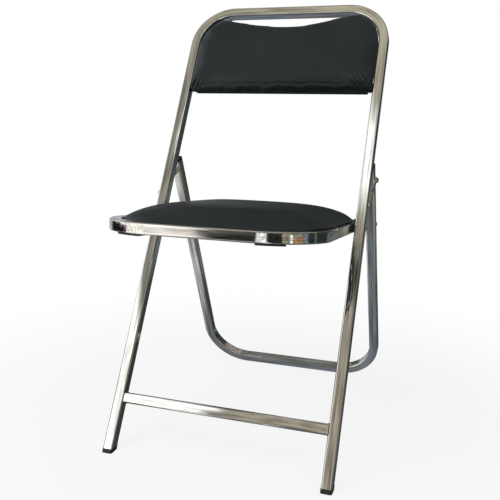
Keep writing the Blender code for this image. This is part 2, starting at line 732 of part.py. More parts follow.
def turn_to_x():
    """Matrix that stands a flat plate across X, its own Y kept."""
    return Vector((0.0, 0.0, 1.0)).rotation_difference(Vector((1.0, 0.0, 0.0))).to_matrix().to_4x4()


def stand_on_origin(chair):
    """Move the whole chair so that the middle of its footprint is the origin."""
    bpy.context.view_layer.update()
    graph = bpy.context.evaluated_depsgraph_get()
    points = []
    for item in chair.parts.objects:
        shape = item.evaluated_get(graph)
        points += [shape.matrix_world @ Vector(corner) for corner in shape.bound_box]
    chair.root.location.y -= (min(p.y for p in points) + max(p.y for p in points)) / 2
    bpy.context.view_layer.update()


def main():
    """Build the chair."""
    clear_scene()
    chair = Chair()
    build_front(chair)
    build_rear(chair)
    build_seat(chair)
    build_back(chair)
    build_fold(chair)
    stand_on_origin(chair)
    for name, turn in (("seat", FOLD.seat_turn), ("links", FOLD.link_turn), ("rear frame", FOLD.rear_turn)):
        print(f"{name} turns {math.degrees(turn):.2f} degrees on the front frame to fold flat")


if __name__ == "__main__":
    main()
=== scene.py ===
"""Looks of the padded folding chair: chrome tubes, vinyl pads, fittings and a white stage."""

import json
import math

import bmesh
import bpy
import numpy as np
from bpy.props import FloatProperty, FloatVectorProperty, IntProperty, PointerProperty
from mathutils import Matrix, Vector


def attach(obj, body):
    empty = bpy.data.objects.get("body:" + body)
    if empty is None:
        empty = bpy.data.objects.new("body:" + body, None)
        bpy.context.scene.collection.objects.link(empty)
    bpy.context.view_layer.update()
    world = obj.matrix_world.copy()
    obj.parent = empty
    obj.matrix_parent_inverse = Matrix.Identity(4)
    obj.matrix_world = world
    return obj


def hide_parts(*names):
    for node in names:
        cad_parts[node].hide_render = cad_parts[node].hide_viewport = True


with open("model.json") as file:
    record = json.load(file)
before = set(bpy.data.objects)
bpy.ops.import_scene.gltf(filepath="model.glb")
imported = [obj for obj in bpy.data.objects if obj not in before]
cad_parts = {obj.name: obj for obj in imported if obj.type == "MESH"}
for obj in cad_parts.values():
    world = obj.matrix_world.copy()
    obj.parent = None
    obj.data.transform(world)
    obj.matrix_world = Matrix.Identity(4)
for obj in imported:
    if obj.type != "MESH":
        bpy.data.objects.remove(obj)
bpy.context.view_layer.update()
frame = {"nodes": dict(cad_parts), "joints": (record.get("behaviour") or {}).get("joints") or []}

bl_info = {
    "name": "Padded folding chair",
    "version": (1, 0, 0),
    "blender": (4, 5, 0),
    "location": "3D View > Sidebar > Chair",
    "description": "Builds the chair's looks around its packed frame",
    "category": "Object",
}

SIDES = (("left", -1.0), ("right", 1.0))
PIVOTS = {joint["name"]: Vector(joint["pos_m"]) for joint in frame["joints"]}
MERGE = 0.00001  # points nearer than this are one, in metres

# What the chrome sees round the stage: name, bearings from and to, heights from and to, softness, colour.
# Angles are in degrees, bearings count from the front and grow to the right, and later panels hang in front.
PANELS = (
    ("ceiling", -200, 200, 34, 95, 4.0, (0.285, 0.265, 0.220)),
    ("ceiling behind", -200, -95, 40, 95, 6.0, (0.17, 0.175, 0.165)),
    ("ceiling in front", -24, 12, 34, 50, 3.0, (0.36, 0.32, 0.27)),
    ("beam", -24, 14, 38.4, 43.0, 1.8, (0.055, 0.054, 0.050)),
    ("ceiling above", -70, 40, 57.5, 95, 2.0, (0.37, 0.34, 0.26)),
    ("ceiling lamp", -32, 6, 47.8, 56.0, 2.5, (1.32, 1.40, 1.32)),
    ("floor", -200, 200, -95, -44, 6.0, (0.135, 0.150, 0.170)),
    ("sunlit floor", -75, -27, -59, -40, 3.0, (0.42, 0.43, 0.43)),
    ("pale floor", -75, 22, -44, -8.5, 4.0, (0.90, 0.88, 0.85)),
    ("mat", -30, 9, -50, -22, 3.0, (0.055, 0.055, 0.053)),
    ("left wall", -164, -116, -16, 12, 5.0, (0.44, 0.46, 0.47)),
    ("dark left wall", -200, -164, -34, 12, 5.0, (0.045, 0.055, 0.053)),
    ("far left wall", -200, -146, 12, 42, 6.0, (0.055, 0.060, 0.060)),
    ("left screen", -122, -57, -3, 33, 2.0, (0.95, 0.95, 0.92)),
    ("doorway", -109, -67, -16, -2.0, 1.5, (0.012, 0.008, 0.012)),
    ("curtain", -73, -65, -16, -2.5, 2.0, (0.13, 0.04, 0.09)),
    ("screen", -64, -21.4, -16, 18, 2.0, (1.05, 1.00, 0.93)),
    ("lit screen", -62, -22.0, 14, 31, 2.5, (1.50, 1.50, 1.46)),
    ("bench", -21.4, 6, -8.5, 0.5, 1.5, (0.024, 0.024, 0.023)),
    ("bench top", -21.4, 4, 0.5, 10, 1.5, (0.080, 0.078, 0.070)),
    ("door gap", -3, 14, -16, 7, 2.0, (0.95, 0.95, 0.93)),
    ("dark door", 16, 41, -16, 6, 2.5, (0.02, 0.02, 0.02)),
    ("wood", 41, 56, -16, 8, 2.0, (0.28, 0.25, 0.17)),
    ("strip light", 54.5, 59, -16, 2, 1.2, (0.98, 0.97, 0.92)),
    ("box", 60, 77, -16, -3, 1.5, (0.40, 0.22, 0.10)),
    ("shelf", 60, 78, -3, 9, 1.5, (0.25, 0.24, 0.19)),
    ("board", 79, 88, -16, 9, 2.0, (0.16, 0.21, 0.25)),
    ("bars", 89, 138, -16, 9, 2.0, (0.025, 0.03, 0.028)),
    ("bar gap", 103, 108, -14, 6, 1.5, (0.12, 0.13, 0.12)),
    ("dark wall", 138, 200, -34, 12, 3.0, (0.045, 0.055, 0.053)),
    ("side bench", 142, 200, -14, -5.5, 2.0, (0.115, 0.135, 0.125)),
    ("far wall", 158, 200, 12, 42, 6.0, (0.055, 0.060, 0.060)),
    ("high wall", -22.0, 58, 9, 34, 2.5, (0.33, 0.30, 0.24)),
    ("high shelf", 58, 165, 9, 34, 4.0, (0.05, 0.055, 0.055)),
)
BARE_WALL = (0.10, 0.105, 0.10)  # where no panel hangs
MIDDLE = (0.0, 0.0, 0.45)  # the chair's middle, which the lamps aim at


# Settings that a user would change
def length(name, text, default):
    return FloatProperty(name=name, description=text, default=default, unit="LENGTH", precision=4)


def angle(name, text, degrees):
    return FloatProperty(name=name, description=text, default=math.radians(degrees), subtype="ANGLE")


def share(name, text, default):
    return FloatProperty(name=name, description=text, default=default, min=0.0, max=1.0, subtype="FACTOR")


def colour(name, text, default):
    return FloatVectorProperty(name=name, description=text, default=default, size=3, min=0.0, max=1.0,
                               subtype="COLOR")


def count(name, text, default):
    return IntProperty(name=name, description=text, default=default, min=1)


class ChairTubes(bpy.types.PropertyGroup):
    """Sizes of the square tubes, as they are in the frame."""
    side: length("Side", "Side of the square tube", 0.019)
    corner: length("Corner", "Radius of the tube's corners", 0.0026)
    leg_x: length("Leg", "Middle of a leg, from the chair's middle", 0.2005)
    rail_x: length("Rail", "Middle of a seat rail, from the chair's middle", 0.1784)
    front_length: length("Front length", "Front frame from the floor to its top", 0.934)
    front_bend: length("Front bend", "Radius of the front frame's bends", 0.0775)
    rung_height: length("Rung", "Rung's place along the front legs", 0.096)
    foot_height: length("Foot", "Height of the feet under the legs", 0.0065)
    seat_pivot: length("Seat pivot", "Seat pivot's place along the front legs", 0.456)
    seat_tilt: angle("Seat tilt", "Fall of the seat towards its rear", 4.8)
    seat_front: length("Seat front", "Rim's front, from the seat pivot", 0.298)
    seat_rear: length("Seat rear", "Rim's rear ends, from the seat pivot", 0.1529)
    seat_bend: length("Seat bend", "Radius of the rim's bends", 0.095)
    rear_lean: angle("Rear lean", "Lean of the rear legs", 24.9)
    rear_top: length("Rear top", "Rear legs above their upper pivot", 0.0266)
    rear_bend: length("Rear bend", "Radius of the rear frame's bends", 0.0875)
    bend_steps: count("Bend steps", "Steps of each bend", 30)
    corner_steps: count("Corner steps", "Steps of each corner of the tube", 5)
    bead: length("Weld", "Radius of the weld bead at the rung's ends", 0.0013)


class ChairChrome(bpy.types.PropertyGroup):
    """Finish of the plated metal."""
    tint: colour("Tint", "Colour of the plating", (0.86, 0.86, 0.84))
    # On the tubes the worn colour is partly wear and partly painted dark reflection, in their dull streaks; the
    # weld beads take it as their own colour.
    worn: colour("Worn", "Colour of the duller streaks", (0.40, 0.385, 0.35))
    polish: share("Polish", "Roughness of the bright plating", 0.045)
    haze: share("Haze", "Roughness of the duller streaks", 0.16)
    steel: colour("Steel", "Colour of plain rivets and screws", (0.52, 0.52, 0.52))


class ChairPads(bpy.types.PropertyGroup):
    """Shape and finish of the padded vinyl."""
    seat_grid: length("Seat grid", "Grid of the seat pad's cloth", 0.005)
    back_grid: length("Back grid", "Grid of the back pad's cloth", 0.006)
    pressure: FloatProperty(name="Pressure", description="Air pressure that plumps a pad", default=4.0)
    seat_cap: length("Seat cap", "Farthest that the seat pad may swell", 0.003)
    back_cap: length("Back cap", "Farthest that the back pad may swell", 0.004)
    lap_left: length("Left lap", "How far the seat pad laps over the left rail", 0.0022)
    lap_right: length("Right lap", "How far the seat pad laps over the right rail", 0.0128)
    lip: length("Lip", "Thickness of the seat pad's edge on the rails", 0.0002)
    crown: length("Crown", "Height of the seat pad's middle above its edge", 0.0308)
    drift: length("Drift", "How far the back pad sits to the right in its frame", 0.0033)
    tilt: angle("Tilt", "How far the back pad leans over in its frame, left side down", 0.35)
    fold: length("Fold", "Depth of the gathers at the back pad's lower corners", 0.0019)
    vinyl: colour("Vinyl", "Colour of the vinyl", (0.0142, 0.0180, 0.0202))
    rubbed: colour("Rubbed", "Colour of the vinyl where it is rubbed", (0.0200, 0.0245, 0.0268))
    gloss: share("Gloss", "Roughness of the vinyl", 0.40)
    grain: length("Grain", "Size of the vinyl's grain", 0.0011)
    hem: length("Hem", "Width of the vinyl folded under a board", 0.017)
    cloth: length("Cloth", "Thickness of the folded vinyl", 0.0007)
    staple: length("Staple", "Length of a staple", 0.011)
    staple_gap: length("Staple gap", "Room from one staple to the next", 0.042)


class ChairFittings(bpy.types.PropertyGroup):
    """Small fittings."""
    head_steps: count("Head steps", "Steps round a rivet or a screw", 28)
    rivet_dome: length("Rivet dome", "Least height of a rivet's head", 0.0012)
    screw_dome: length("Screw dome", "Height of a screw's head", 0.0022)
    cross: length("Cross", "Width of the cross in a screw head", 0.0011)
    link_steps: count("Link steps", "Steps of a link's round end", 24)
    link_ease: length("Link ease", "Bevel of a link's edges", 0.0006)
    wire_steps: count("Wire steps", "Steps round a staple's wire", 10)
    plastic: colour("Plastic", "Colour of feet, caps and washers", (0.018, 0.016, 0.020))
    painted: colour("Painted", "Colour of the plates under the seat", (0.022, 0.021, 0.022))
    board: colour("Board", "Colour of the pressed board", (0.105, 0.080, 0.058))


class ChairStage(bpy.types.PropertyGroup):
    """Camera, light and floor."""
    camera: FloatVectorProperty(name="Camera", description="Place of the camera, from the front feet",
                                default=(0.3945, -1.0074, 0.6008), subtype="TRANSLATION")
    bearing: angle("Bearing", "Camera's bearing to the right of the front", 17.977)
    height: angle("Height", "Camera's height above the level", 10.560)
    roll: angle("Roll", "Camera's roll", 0.995)
    lens: FloatProperty(name="Lens", description="Focal length in millimetres", default=49.025)
    shift: FloatVectorProperty(name="Shift", description="Lens shift", default=(-0.00786, -0.01586), size=2)
    ambient: FloatProperty(name="Ambient", description="Strength of the even light", default=0.45)
    key: FloatProperty(name="Key", description="Power of the main lamp", default=34.0, unit="POWER")
    fill: FloatProperty(name="Fill", description="Power of the side lamp", default=5.0, unit="POWER")
    floor: colour("Floor", "Colour of the floor", (0.86, 0.86, 0.86))
    clear: share("Clear", "Share of the white ground that shows through the floor", 0.84)


def settings(name):
    return getattr(bpy.context.scene, "chair_" + name)


# Places: each frame's own axes are across, along its legs and out of its plane
def axes(origin, along, out):
    """Matrix from a frame's own axes to the chair's."""
    turn = Matrix((Vector((1.0, 0.0, 0.0)), along, out)).transposed().to_4x4()
    turn.translation = origin
    return turn


def front_axes():
    """From the floor up the front legs, out to the sitter's front."""
    up = (PIVOTS["link_fold"] - PIVOTS["seat_fold"]).normalized()
    return axes(PIVOTS["seat_fold"] - settings("tubes").seat_pivot * up, up, Vector((0.0, -up.z, up.y)))


def seat_axes():
    """From the seat pivot back along the rails, out of the seat's top."""
    tilt = settings("tubes").seat_tilt
    return axes(PIVOTS["seat_fold"], Vector((0.0, math.cos(tilt), -math.sin(tilt))),
                Vector((0.0, math.sin(tilt), math.cos(tilt))))


def rear_axes():
    """From the upper pivot up the rear legs, out to the front and down."""
    lean = settings("tubes").rear_lean
    return axes(PIVOTS["rear_fold"], Vector((0.0, -math.sin(lean), math.cos(lean))),
                Vector((0.0, -math.cos(lean), -math.sin(lean))))


# Meshes
def add_object(name, mesh):
    item = bpy.data.objects.new(name, mesh)
    bpy.context.scene.collection.objects.link(item)
    return item


def bake(item):
    """Make what the modifiers give the object's plain mesh."""
    graph = bpy.context.evaluated_depsgraph_get()
    mesh = bpy.data.meshes.new_from_object(item.evaluated_get(graph), preserve_all_data_layers=True,
                                           depsgraph=graph)
    item.modifiers.clear()
    item.data = mesh
    return item


def points_of(mesh):
    flat = np.empty(len(mesh.vertices) * 3)
    mesh.vertices.foreach_get("co", flat)
    return flat.reshape(-1, 3)


def place_points(mesh, points):
    mesh.vertices.foreach_set("co", np.ascontiguousarray(points, dtype=np.float32).ravel())
    mesh.update()


def node_points(name):
    return points_of(frame["nodes"][name].data)


def tip(name, axis):
    """The end of a CAD node along an axis: the middle of its outermost face, and the node's radius there."""
    head_depth = 0.0045
    points = node_points(name)
    axis = np.array(axis)
    reach = points @ axis
    flat = points - reach[:, None] * axis
    middle = (flat.min(0) + flat.max(0)) / 2
    near = reach > reach.max() - head_depth
    radius = np.linalg.norm(flat[near] - middle, axis=1).max()
    return Vector(middle + reach.max() * axis), float(radius)


def hand_over(item, body, slot, material, *nodes):
    """Give a finished piece its body, finish and the nodes it stands for."""
    if material is not None:
        item.data.materials.clear()
        item.data.materials.append(material)
    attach(item, body)
    if nodes:
        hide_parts(*nodes)
    return item


# Shader maths
class Value:
    """One shader socket; arithmetic on it adds maths nodes to its tree."""

    def __init__(self, tree, socket):
        self.tree, self.socket = tree, socket

    def node(self, kind, options, sockets, output=0):
        """Any other node: its type, its settings, then its sockets; gives one of its outputs."""
        item = self.tree.nodes.new(kind)
        for key, value in options.items():
            setattr(item, key, value)
        for key, value in sockets.items():
            if isinstance(value, Value):
                self.tree.links.new(value.socket, item.inputs[key])
            else:
                item.inputs[key].default_value = value
        return Value(self.tree, item.outputs[output])

    def maths(self, operation, *values):
        return self.node("ShaderNodeMath", {"operation": operation}, dict(enumerate(values)))

    def __add__(self, other):
        return self.maths("ADD", self, other)

    def __radd__(self, other):
        return self.maths("ADD", other, self)

    def __sub__(self, other):
        return self.maths("SUBTRACT", self, other)

    def __rsub__(self, other):
        return self.maths("SUBTRACT", other, self)

    def __mul__(self, other):
        return self.maths("MULTIPLY", self, other)

    def __rmul__(self, other):
        return self.maths("MULTIPLY", other, self)

    def __neg__(self):
        return self.maths("MULTIPLY", self, -1.0)

    def parts(self):
        """The three parts of a vector."""
        return [self.node("ShaderNodeSeparateXYZ", {}, {0: self}, index) for index in range(3)]

    def stretched(self, scale):
        """This vector times a scale along each axis."""
        return self.node("ShaderNodeVectorMath", {"operation": "MULTIPLY"}, {0: self, 1: scale})

    def noise(self, scale, detail=3.0, rough=0.5):
        return self.node("ShaderNodeTexNoise", {}, {"Vector": self, "Scale": scale, "Detail": detail,
                                                    "Roughness": rough})

    def cells(self, scale):
        """How far inside the edges of uneven cells this place lies."""
        return self.node("ShaderNodeTexVoronoi", {"feature": "DISTANCE_TO_EDGE"},
                         {"Vector": self, "Scale": scale})

    def step(self, low, high, start=0.0, end=1.0):
        """A soft step from start to end while this value goes from low to high."""
        return self.node("ShaderNodeMapRange", {"interpolation_type": "SMOOTHSTEP"},
                         {0: self, 1: low, 2: high, 3: start, 4: end})

    def mix(self, first, second):
        """A colour between two, by this value."""
        return self.node("ShaderNodeMix", {"data_type": "RGBA"},
                         {0: self, 6: tint(first), 7: tint(second)}, 2)


def tint(value):
    """A colour as a mix takes it."""
    return value if isinstance(value, Value) else (*value[:3], 1.0)


def new_material(name):
    """A material with one shader: gives it, the shader's inputs and a field of its Object coordinates."""
    material = bpy.data.materials.new(name)
    material.use_nodes = True
    tree = material.node_tree
    shader = tree.nodes["Principled BSDF"]
    coords = tree.nodes.new("ShaderNodeTexCoord")
    return material, shader, Value(tree, coords.outputs["Object"])


def wire(shader, **inputs):
    """Put values or fields on a shader's inputs; underscores stand for spaces."""
    for name, value in inputs.items():
        socket = shader.inputs[name.replace("_", " ")]
        if isinstance(value, Value):
            value.tree.links.new(value.socket, socket)
        else:
            socket.default_value = value


def bump(field, strength, distance):
    return field.node("ShaderNodeBump", {}, {"Strength": strength, "Distance": distance, "Height": field})


def tube_chrome():
    """Bright plating with dull streaks that run along the tube, on faces that bulge a little. The streaks
    darken the base colour, partly as wear and partly as painted dark reflection, and are faint high up.
    """
    chrome = settings("chrome")
    bulge = -3.2
    material, shader, here = new_material("tube_chrome")
    girth = here.node("ShaderNodeAttribute", {"attribute_name": "girth"}, {}, "Vector")
    streaks = girth.stretched((310.0, 310.0, 4.0)).noise(1.0, 3.0, 0.6)
    scuffs = girth.stretched((900.0, 900.0, 9.0)).noise(1.0, 2.0, 0.6)
    smears = here.noise(17.0, 3.0, 0.55)
    low = here.parts()[2].step(0.52, 0.74, 1.0, 0.12)
    # Painted dark reflection mixed with wear: the dull streaks darken the plating's base colour, fully below
    # about half a metre and only faintly above three quarters of a metre.
    dull = streaks.step(0.50, 0.64) * 0.75 + scuffs.step(0.52, 0.66) * 0.4
    dull = dull * smears.step(0.36, 0.60, 0.3, 1.0) * low
    specks = here.noise(900.0, 1.0).step(0.70, 0.78)
    wire(shader, Metallic=1.0,
         Base_Color=dull.mix(chrome.tint, chrome.worn),
         Roughness=chrome.polish + dull * (chrome.haze - chrome.polish) + specks * 0.10)
    across, out, _ = girth.parts()
    crown = (across * across + out * out) * bulge
    ripple = (girth.stretched((190.0, 190.0, 2.5)).noise(1.0, 1.0) * 0.00007 + streaks * 0.00001) * low
    sway = girth.stretched((40.0, 40.0, 12.0)).noise(1.0, 1.0) * 0.00012
    wire(shader, Normal=bump(crown + ripple + sway, 1.0, 1.0))
    return material


def plain_chrome(name, base):
    """Plain bright metal with fine scuffs."""
    chrome = settings("chrome")
    material, shader, here = new_material(name)
    scuffs = here.noise(380.0, 4.0, 0.65)
    dull = scuffs.step(0.45, 0.70)
    wire(shader, Metallic=1.0, Base_Color=dull.mix(base, [0.82 * part for part in base]),
         Roughness=chrome.polish * 2 + dull * chrome.haze, Normal=bump(scuffs, 0.10, 0.0002))
    return material


def vinyl():
    """Grained black vinyl, a little rubbed on its high places."""
    pads = settings("pads")
    material, shader, here = new_material("black_vinyl")
    grain = here.cells(1.0 / pads.grain)
    pores = here.noise(0.6 / pads.grain, 3.0)
    rubbed = here.noise(9.0, 4.0, 0.6).step(0.42, 0.68)
    fine = grain.step(0.0, 0.22) * 0.7 + pores * 0.5
    wire(shader, Base_Color=rubbed.mix(pads.vinyl, pads.rubbed),
         Roughness=pads.gloss + 0.10 * rubbed - 0.06 * grain.step(0.0, 0.3),
         Normal=bump(fine, 0.22, 0.00022))
    wire(shader, Specular_IOR_Level=0.45, Specular_Tint=(0.80, 0.97, 1.0, 1.0), Sheen_Weight=0.02,
         Sheen_Roughness=0.4)
    return material


def moulded_plastic():
    """Black moulded plastic with a fine matt skin."""
    fittings = settings("fittings")
    material, shader, here = new_material("black_plastic")
    skin = here.noise(1500.0, 2.0)
    worn = here.noise(120.0, 3.0).step(0.5, 0.75)
    wire(shader, Base_Color=worn.mix(fittings.plastic, [1.7 * part for part in fittings.plastic]),
         Roughness=0.38 + 0.2 * skin, Normal=bump(skin, 0.12, 0.0002))
    return material


def painted_steel():
    """Black paint on pressed steel, slightly orange-peeled."""
    fittings = settings("fittings")
    material, shader, here = new_material("painted_steel")
    peel = here.noise(700.0, 2.0)
    wear = here.noise(90.0, 4.0, 0.65).step(0.62, 0.74)
    wire(shader, Base_Color=wear.mix(fittings.painted, (0.09, 0.085, 0.08)), Metallic=0.3 * wear,
         Roughness=0.34 + 0.18 * peel, Normal=bump(peel, 0.15, 0.0002))
    return material


def pressed_board():
    """Brown pressed board with short fibres and dark flecks."""
    fittings = settings("fittings")
    material, shader, here = new_material("pressed_board")
    fibres = here.stretched((260.0, 900.0, 500.0)).noise(1.0, 4.0, 0.7)
    flecks = here.noise(420.0, 3.0, 0.6).step(0.56, 0.70)
    dark = [0.45 * part for part in fittings.board]
    light = [1.35 * part for part in fittings.board]
    wire(shader, Base_Color=flecks.mix(fibres.step(0.3, 0.7).mix(fittings.board, light), dark),
         Roughness=0.72 + 0.16 * fibres, Normal=bump(fibres, 0.35, 0.0003))
    return material


# Node trees for what repeats or follows a path
class Tree:
    """A Geometry Nodes tree with named inputs."""

    def __init__(self, name):
        self.tree = bpy.data.node_groups.new(name, "GeometryNodeTree")
        self.tree.interface.new_socket("Geometry", in_out="OUTPUT", socket_type="NodeSocketGeometry")
        self.entry = self.tree.nodes.new("NodeGroupInput")
        self.sockets = {}

    def take(self, name, kind):
        """A named input of the tree."""
        kind = "NodeSocket" + kind
        self.sockets[name] = self.tree.interface.new_socket(name, in_out="INPUT", socket_type=kind)
        return self.entry.outputs[name]

    def node(self, kind, options, sockets):
        """A node: its type, its settings, then its sockets; gives its outputs."""
        item = self.tree.nodes.new(kind)
        for key, value in options.items():
            setattr(item, key, value)
        for key, value in sockets.items():
            if isinstance(value, list):
                for part in value:
                    self.tree.links.new(part, item.inputs[key])
            elif isinstance(value, bpy.types.NodeSocket):
                self.tree.links.new(value, item.inputs[key])
            else:
                item.inputs[key].default_value = value
        return item.outputs

    def store(self, geometry, name, kind, value):
        """Keep a value on a geometry's points, by name."""
        return self.node("GeometryNodeStoreNamedAttribute", {"data_type": kind, "domain": "POINT"},
                         {"Geometry": geometry, "Name": name, "Value": value})[0]

    def read(self, name, kind):
        """A value that points carry."""
        return self.node("GeometryNodeInputNamedAttribute", {"data_type": kind}, {"Name": name})[0]

    def scatter(self, places, head):
        """A head on every point, by the turn and the size that the point carries."""
        return self.node("GeometryNodeInstanceOnPoints", {},
                         {"Points": places, "Instance": head, "Rotation": self.read("turn", "FLOAT_VECTOR"),
                          "Scale": self.read("size", "FLOAT_VECTOR")})[0]

    def close(self, geometry, finish, smooth=False):
        """End the tree with plain geometry in its finish."""
        whole = self.node("GeometryNodeRealizeInstances", {}, {"Geometry": geometry})[0]
        if smooth:
            whole = self.node("GeometryNodeSetShadeSmooth", {}, {"Geometry": whole})[0]
        done = self.node("GeometryNodeSetMaterial", {}, {"Geometry": whole, "Material": finish})[0]
        self.tree.links.new(done, self.tree.nodes.new("NodeGroupOutput").inputs[0])

    def run(self, item, **values):
        """Apply the tree to an object with these inputs and keep the plain mesh."""
        modifier = item.modifiers.new("shape", "NODES")
        modifier.node_group = self.tree
        for name, value in values.items():
            modifier[self.sockets[name.replace("_", " ")].identifier] = value
        return bake(item)


def tube_tree():
    """Square tube along a path: a rounded square swept along it, with each point's place on the tube."""
    tree = Tree("square_tube")
    path = tree.take("Path", "Geometry")
    side = tree.take("Side", "Float")
    corner = tree.take("Corner", "Float")
    steps = tree.take("Corner Steps", "Int")
    finish = tree.take("Finish", "Material")
    square = tree.node("GeometryNodeCurvePrimitiveQuadrilateral", {}, {"Width": side, "Height": side})[0]
    section = tree.node("GeometryNodeFilletCurve", {"mode": "POLY"},
                        {"Curve": square, "Radius": corner, "Count": steps})[0]
    place = tree.node("GeometryNodeInputPosition", {}, {})[0]
    across = tree.store(section, "across", "FLOAT_VECTOR", place)
    curve = tree.node("GeometryNodeMeshToCurve", {}, {"Mesh": path})[0]
    level = tree.node("GeometryNodeSetCurveNormal", {}, {"Curve": curve})[0]
    along = tree.store(level, "along", "FLOAT", tree.node("GeometryNodeSplineParameter", {}, {})[1])
    swept = tree.node("GeometryNodeCurveToMesh", {},
                      {"Curve": along, "Profile Curve": across, "Fill Caps": True})[0]
    parts = tree.node("ShaderNodeSeparateXYZ", {}, {0: tree.read("across", "FLOAT_VECTOR")})
    girth = tree.node("ShaderNodeCombineXYZ", {},
                      {0: parts[0], 1: parts[1], 2: tree.read("along", "FLOAT")})[0]
    kept = tree.store(swept, "girth", "FLOAT_VECTOR", girth)
    for name in ("across", "along"):
        kept = tree.node("GeometryNodeRemoveAttribute", {}, {"Geometry": kept, "Name": name})[0]
    tree.close(kept, finish)
    return tree


def rivet_tree(bars=False):
    """Domed heads, or round bars, on points that carry their turn and size."""
    tree = Tree("staples" if bars else "rivet_heads")
    places = tree.take("Places", "Geometry")
    steps = tree.take("Steps", "Int")
    finish = tree.take("Finish", "Material")
    if bars:
        head = tree.node("GeometryNodeMeshCylinder", {}, {"Vertices": steps, "Radius": 1.0, "Depth": 2.0})[0]
    else:
        rings = tree.node("ShaderNodeMath", {"operation": "DIVIDE"}, {0: steps, 1: 2.0})[0]
        head = tree.node("GeometryNodeMeshUVSphere", {}, {"Segments": steps, "Rings": rings, "Radius": 1.0})[0]
    tree.close(tree.scatter(places, head), finish, smooth=True)
    return tree


def screw_tree():
    """Domed screw heads with a cross cut in them, on points that carry their turn and size."""
    tree = Tree("screw_heads")
    places = tree.take("Places", "Geometry")
    steps = tree.take("Steps", "Int")
    cross = tree.take("Cross", "Float")
    finish = tree.take("Finish", "Material")
    arm, depth, rings = 1.2, 0.9, 12
    ball = tree.node("GeometryNodeMeshUVSphere", {}, {"Segments": steps, "Rings": rings, "Radius": 1.0})[0]
    cuts = []
    for long_way in (0, 1):
        size = tree.node("ShaderNodeCombineXYZ", {}, {long_way: arm, 1 - long_way: cross, 2: depth})[0]
        bar = tree.node("GeometryNodeMeshCube", {}, {"Size": size})[0]
        cuts.append(tree.node("GeometryNodeTransform", {},
                              {"Geometry": bar, "Translation": (0.0, 0.0, 1.0)})[0])
    head = tree.node("GeometryNodeMeshBoolean", {"operation": "DIFFERENCE"},
                     {"Mesh 1": ball, "Mesh 2": cuts})[0]
    tree.close(tree.scatter(places, head), finish)
    return tree


def head_points(name, heads):
    """Points that carry a turn and a size: each head is its seat, its axis, its radius and its height."""
    mesh = bpy.data.meshes.new(name)
    mesh.from_pydata([seat for seat, _, _, _ in heads], [], [])
    turns = mesh.attributes.new("turn", "FLOAT_VECTOR", "POINT")
    sizes = mesh.attributes.new("size", "FLOAT_VECTOR", "POINT")
    for index, (_, axis, radius, height) in enumerate(heads):
        turns.data[index].vector = Vector(axis).to_track_quat("Z", "Y").to_euler()
        sizes.data[index].vector = (radius, radius, height)
    return add_object(name, mesh)


# Tubes
def u_path(half, end, bar, bend, steps):
    """Points of a U from its left end, round its bar, to its right end."""
    way = 1.0 if bar > end else -1.0
    points = [(-half, end)]
    for middle, start in ((-half + bend, math.pi), (half - bend, math.pi / 2)):
        for step in range(steps + 1):
            turn = start - math.pi / 2 * step / steps
            points.append((middle + bend * math.cos(turn), bar + way * bend * (math.sin(turn) - 1.0)))
    return points + [(half, end)]


def square_tube(name, path, place, finish, level=None):
    """A finished tube along a flat path; level cuts its ends to a slope."""
    tubes = settings("tubes")
    mesh = bpy.data.meshes.new(name)
    mesh.from_pydata([(x, y, 0.0) for x, y in path], [(i, i + 1) for i in range(len(path) - 1)], [])
    item = add_object(name, mesh)
    tube_tree().run(item, Side=tubes.side, Corner=tubes.corner, Corner_Steps=tubes.corner_steps,
                    Finish=finish)
    if level is not None:
        low, slope = level
        points = points_of(item.data)
        ends = points[:, 1] < low + MERGE
        points[ends, 1] += slope * points[ends, 2]
        place_points(item.data, points)
    item.data.shade_smooth()
    weigh = item.modifiers.new("flats", "WEIGHTED_NORMAL")
    weigh.weight = 50
    weigh.keep_sharp = False
    bake(item)
    item.data.transform(place)
    return item


def weld_bead(name, way, reach, place):
    """A rippled bead round one end of the rung."""
    tubes = settings("tubes")
    half, blunt = tubes.side / 2, 1.30
    steps, waves, ripple = 64, 11, 0.0003
    loop = bpy.data.curves.new("bead", "CURVE")
    loop.dimensions = "3D"
    loop.bevel_depth = tubes.bead
    loop.bevel_resolution = 4
    spline = loop.splines.new("POLY")
    spline.points.add(steps - 1)
    spline.use_cyclic_u = True
    for index, point in enumerate(spline.points):
        turn = 2 * math.pi * index / steps
        stretch = half / max(abs(math.cos(turn)), abs(math.sin(turn)))
        rounded = min(stretch, half * blunt)
        out = reach + ripple * math.sin(waves * turn + way)
        point.co = (way * out, tubes.rung_height + rounded * math.sin(turn), rounded * math.cos(turn), 1.0)
    curve = add_object(name, loop)
    graph = bpy.context.evaluated_depsgraph_get()
    mesh = bpy.data.meshes.new_from_object(curve.evaluated_get(graph))
    bpy.data.objects.remove(curve)
    mesh.transform(place)
    mesh.shade_smooth()
    return add_object(name, mesh)


class CHAIR_OT_front_tubes(bpy.types.Operator):
    """Front frame, rung and the weld beads at the rung's ends."""
    bl_idname = "chair.front_tubes"
    bl_label = "Front frame"

    def execute(self, context):
        tubes = settings("tubes")
        chrome = tube_chrome()
        place = front_axes()
        lean = math.atan2(place[1][1], place[2][1])
        low = tubes.foot_height / math.cos(lean)
        bar = tubes.front_length - tubes.side / 2
        path = u_path(tubes.leg_x, low, bar, tubes.front_bend, tubes.bend_steps)
        legs = square_tube("front_frame_chrome", path, place, chrome, (low, -math.tan(lean)))
        hand_over(legs, "front", "chrome", None, "front_frame")
        reach = tubes.leg_x - tubes.side / 2
        path = [(-reach, tubes.rung_height), (reach, tubes.rung_height)]
        rung = square_tube("front_rung_chrome", path, place, chrome)
        hand_over(rung, "front", "chrome", None, "front_rung")
        weld = plain_chrome("weld_chrome", settings("chrome").worn)
        for side, way in SIDES:
            bead = weld_bead("rung_weld_" + side, way, reach, place)
            hand_over(bead, "front", "chrome", weld)
        return {"FINISHED"}


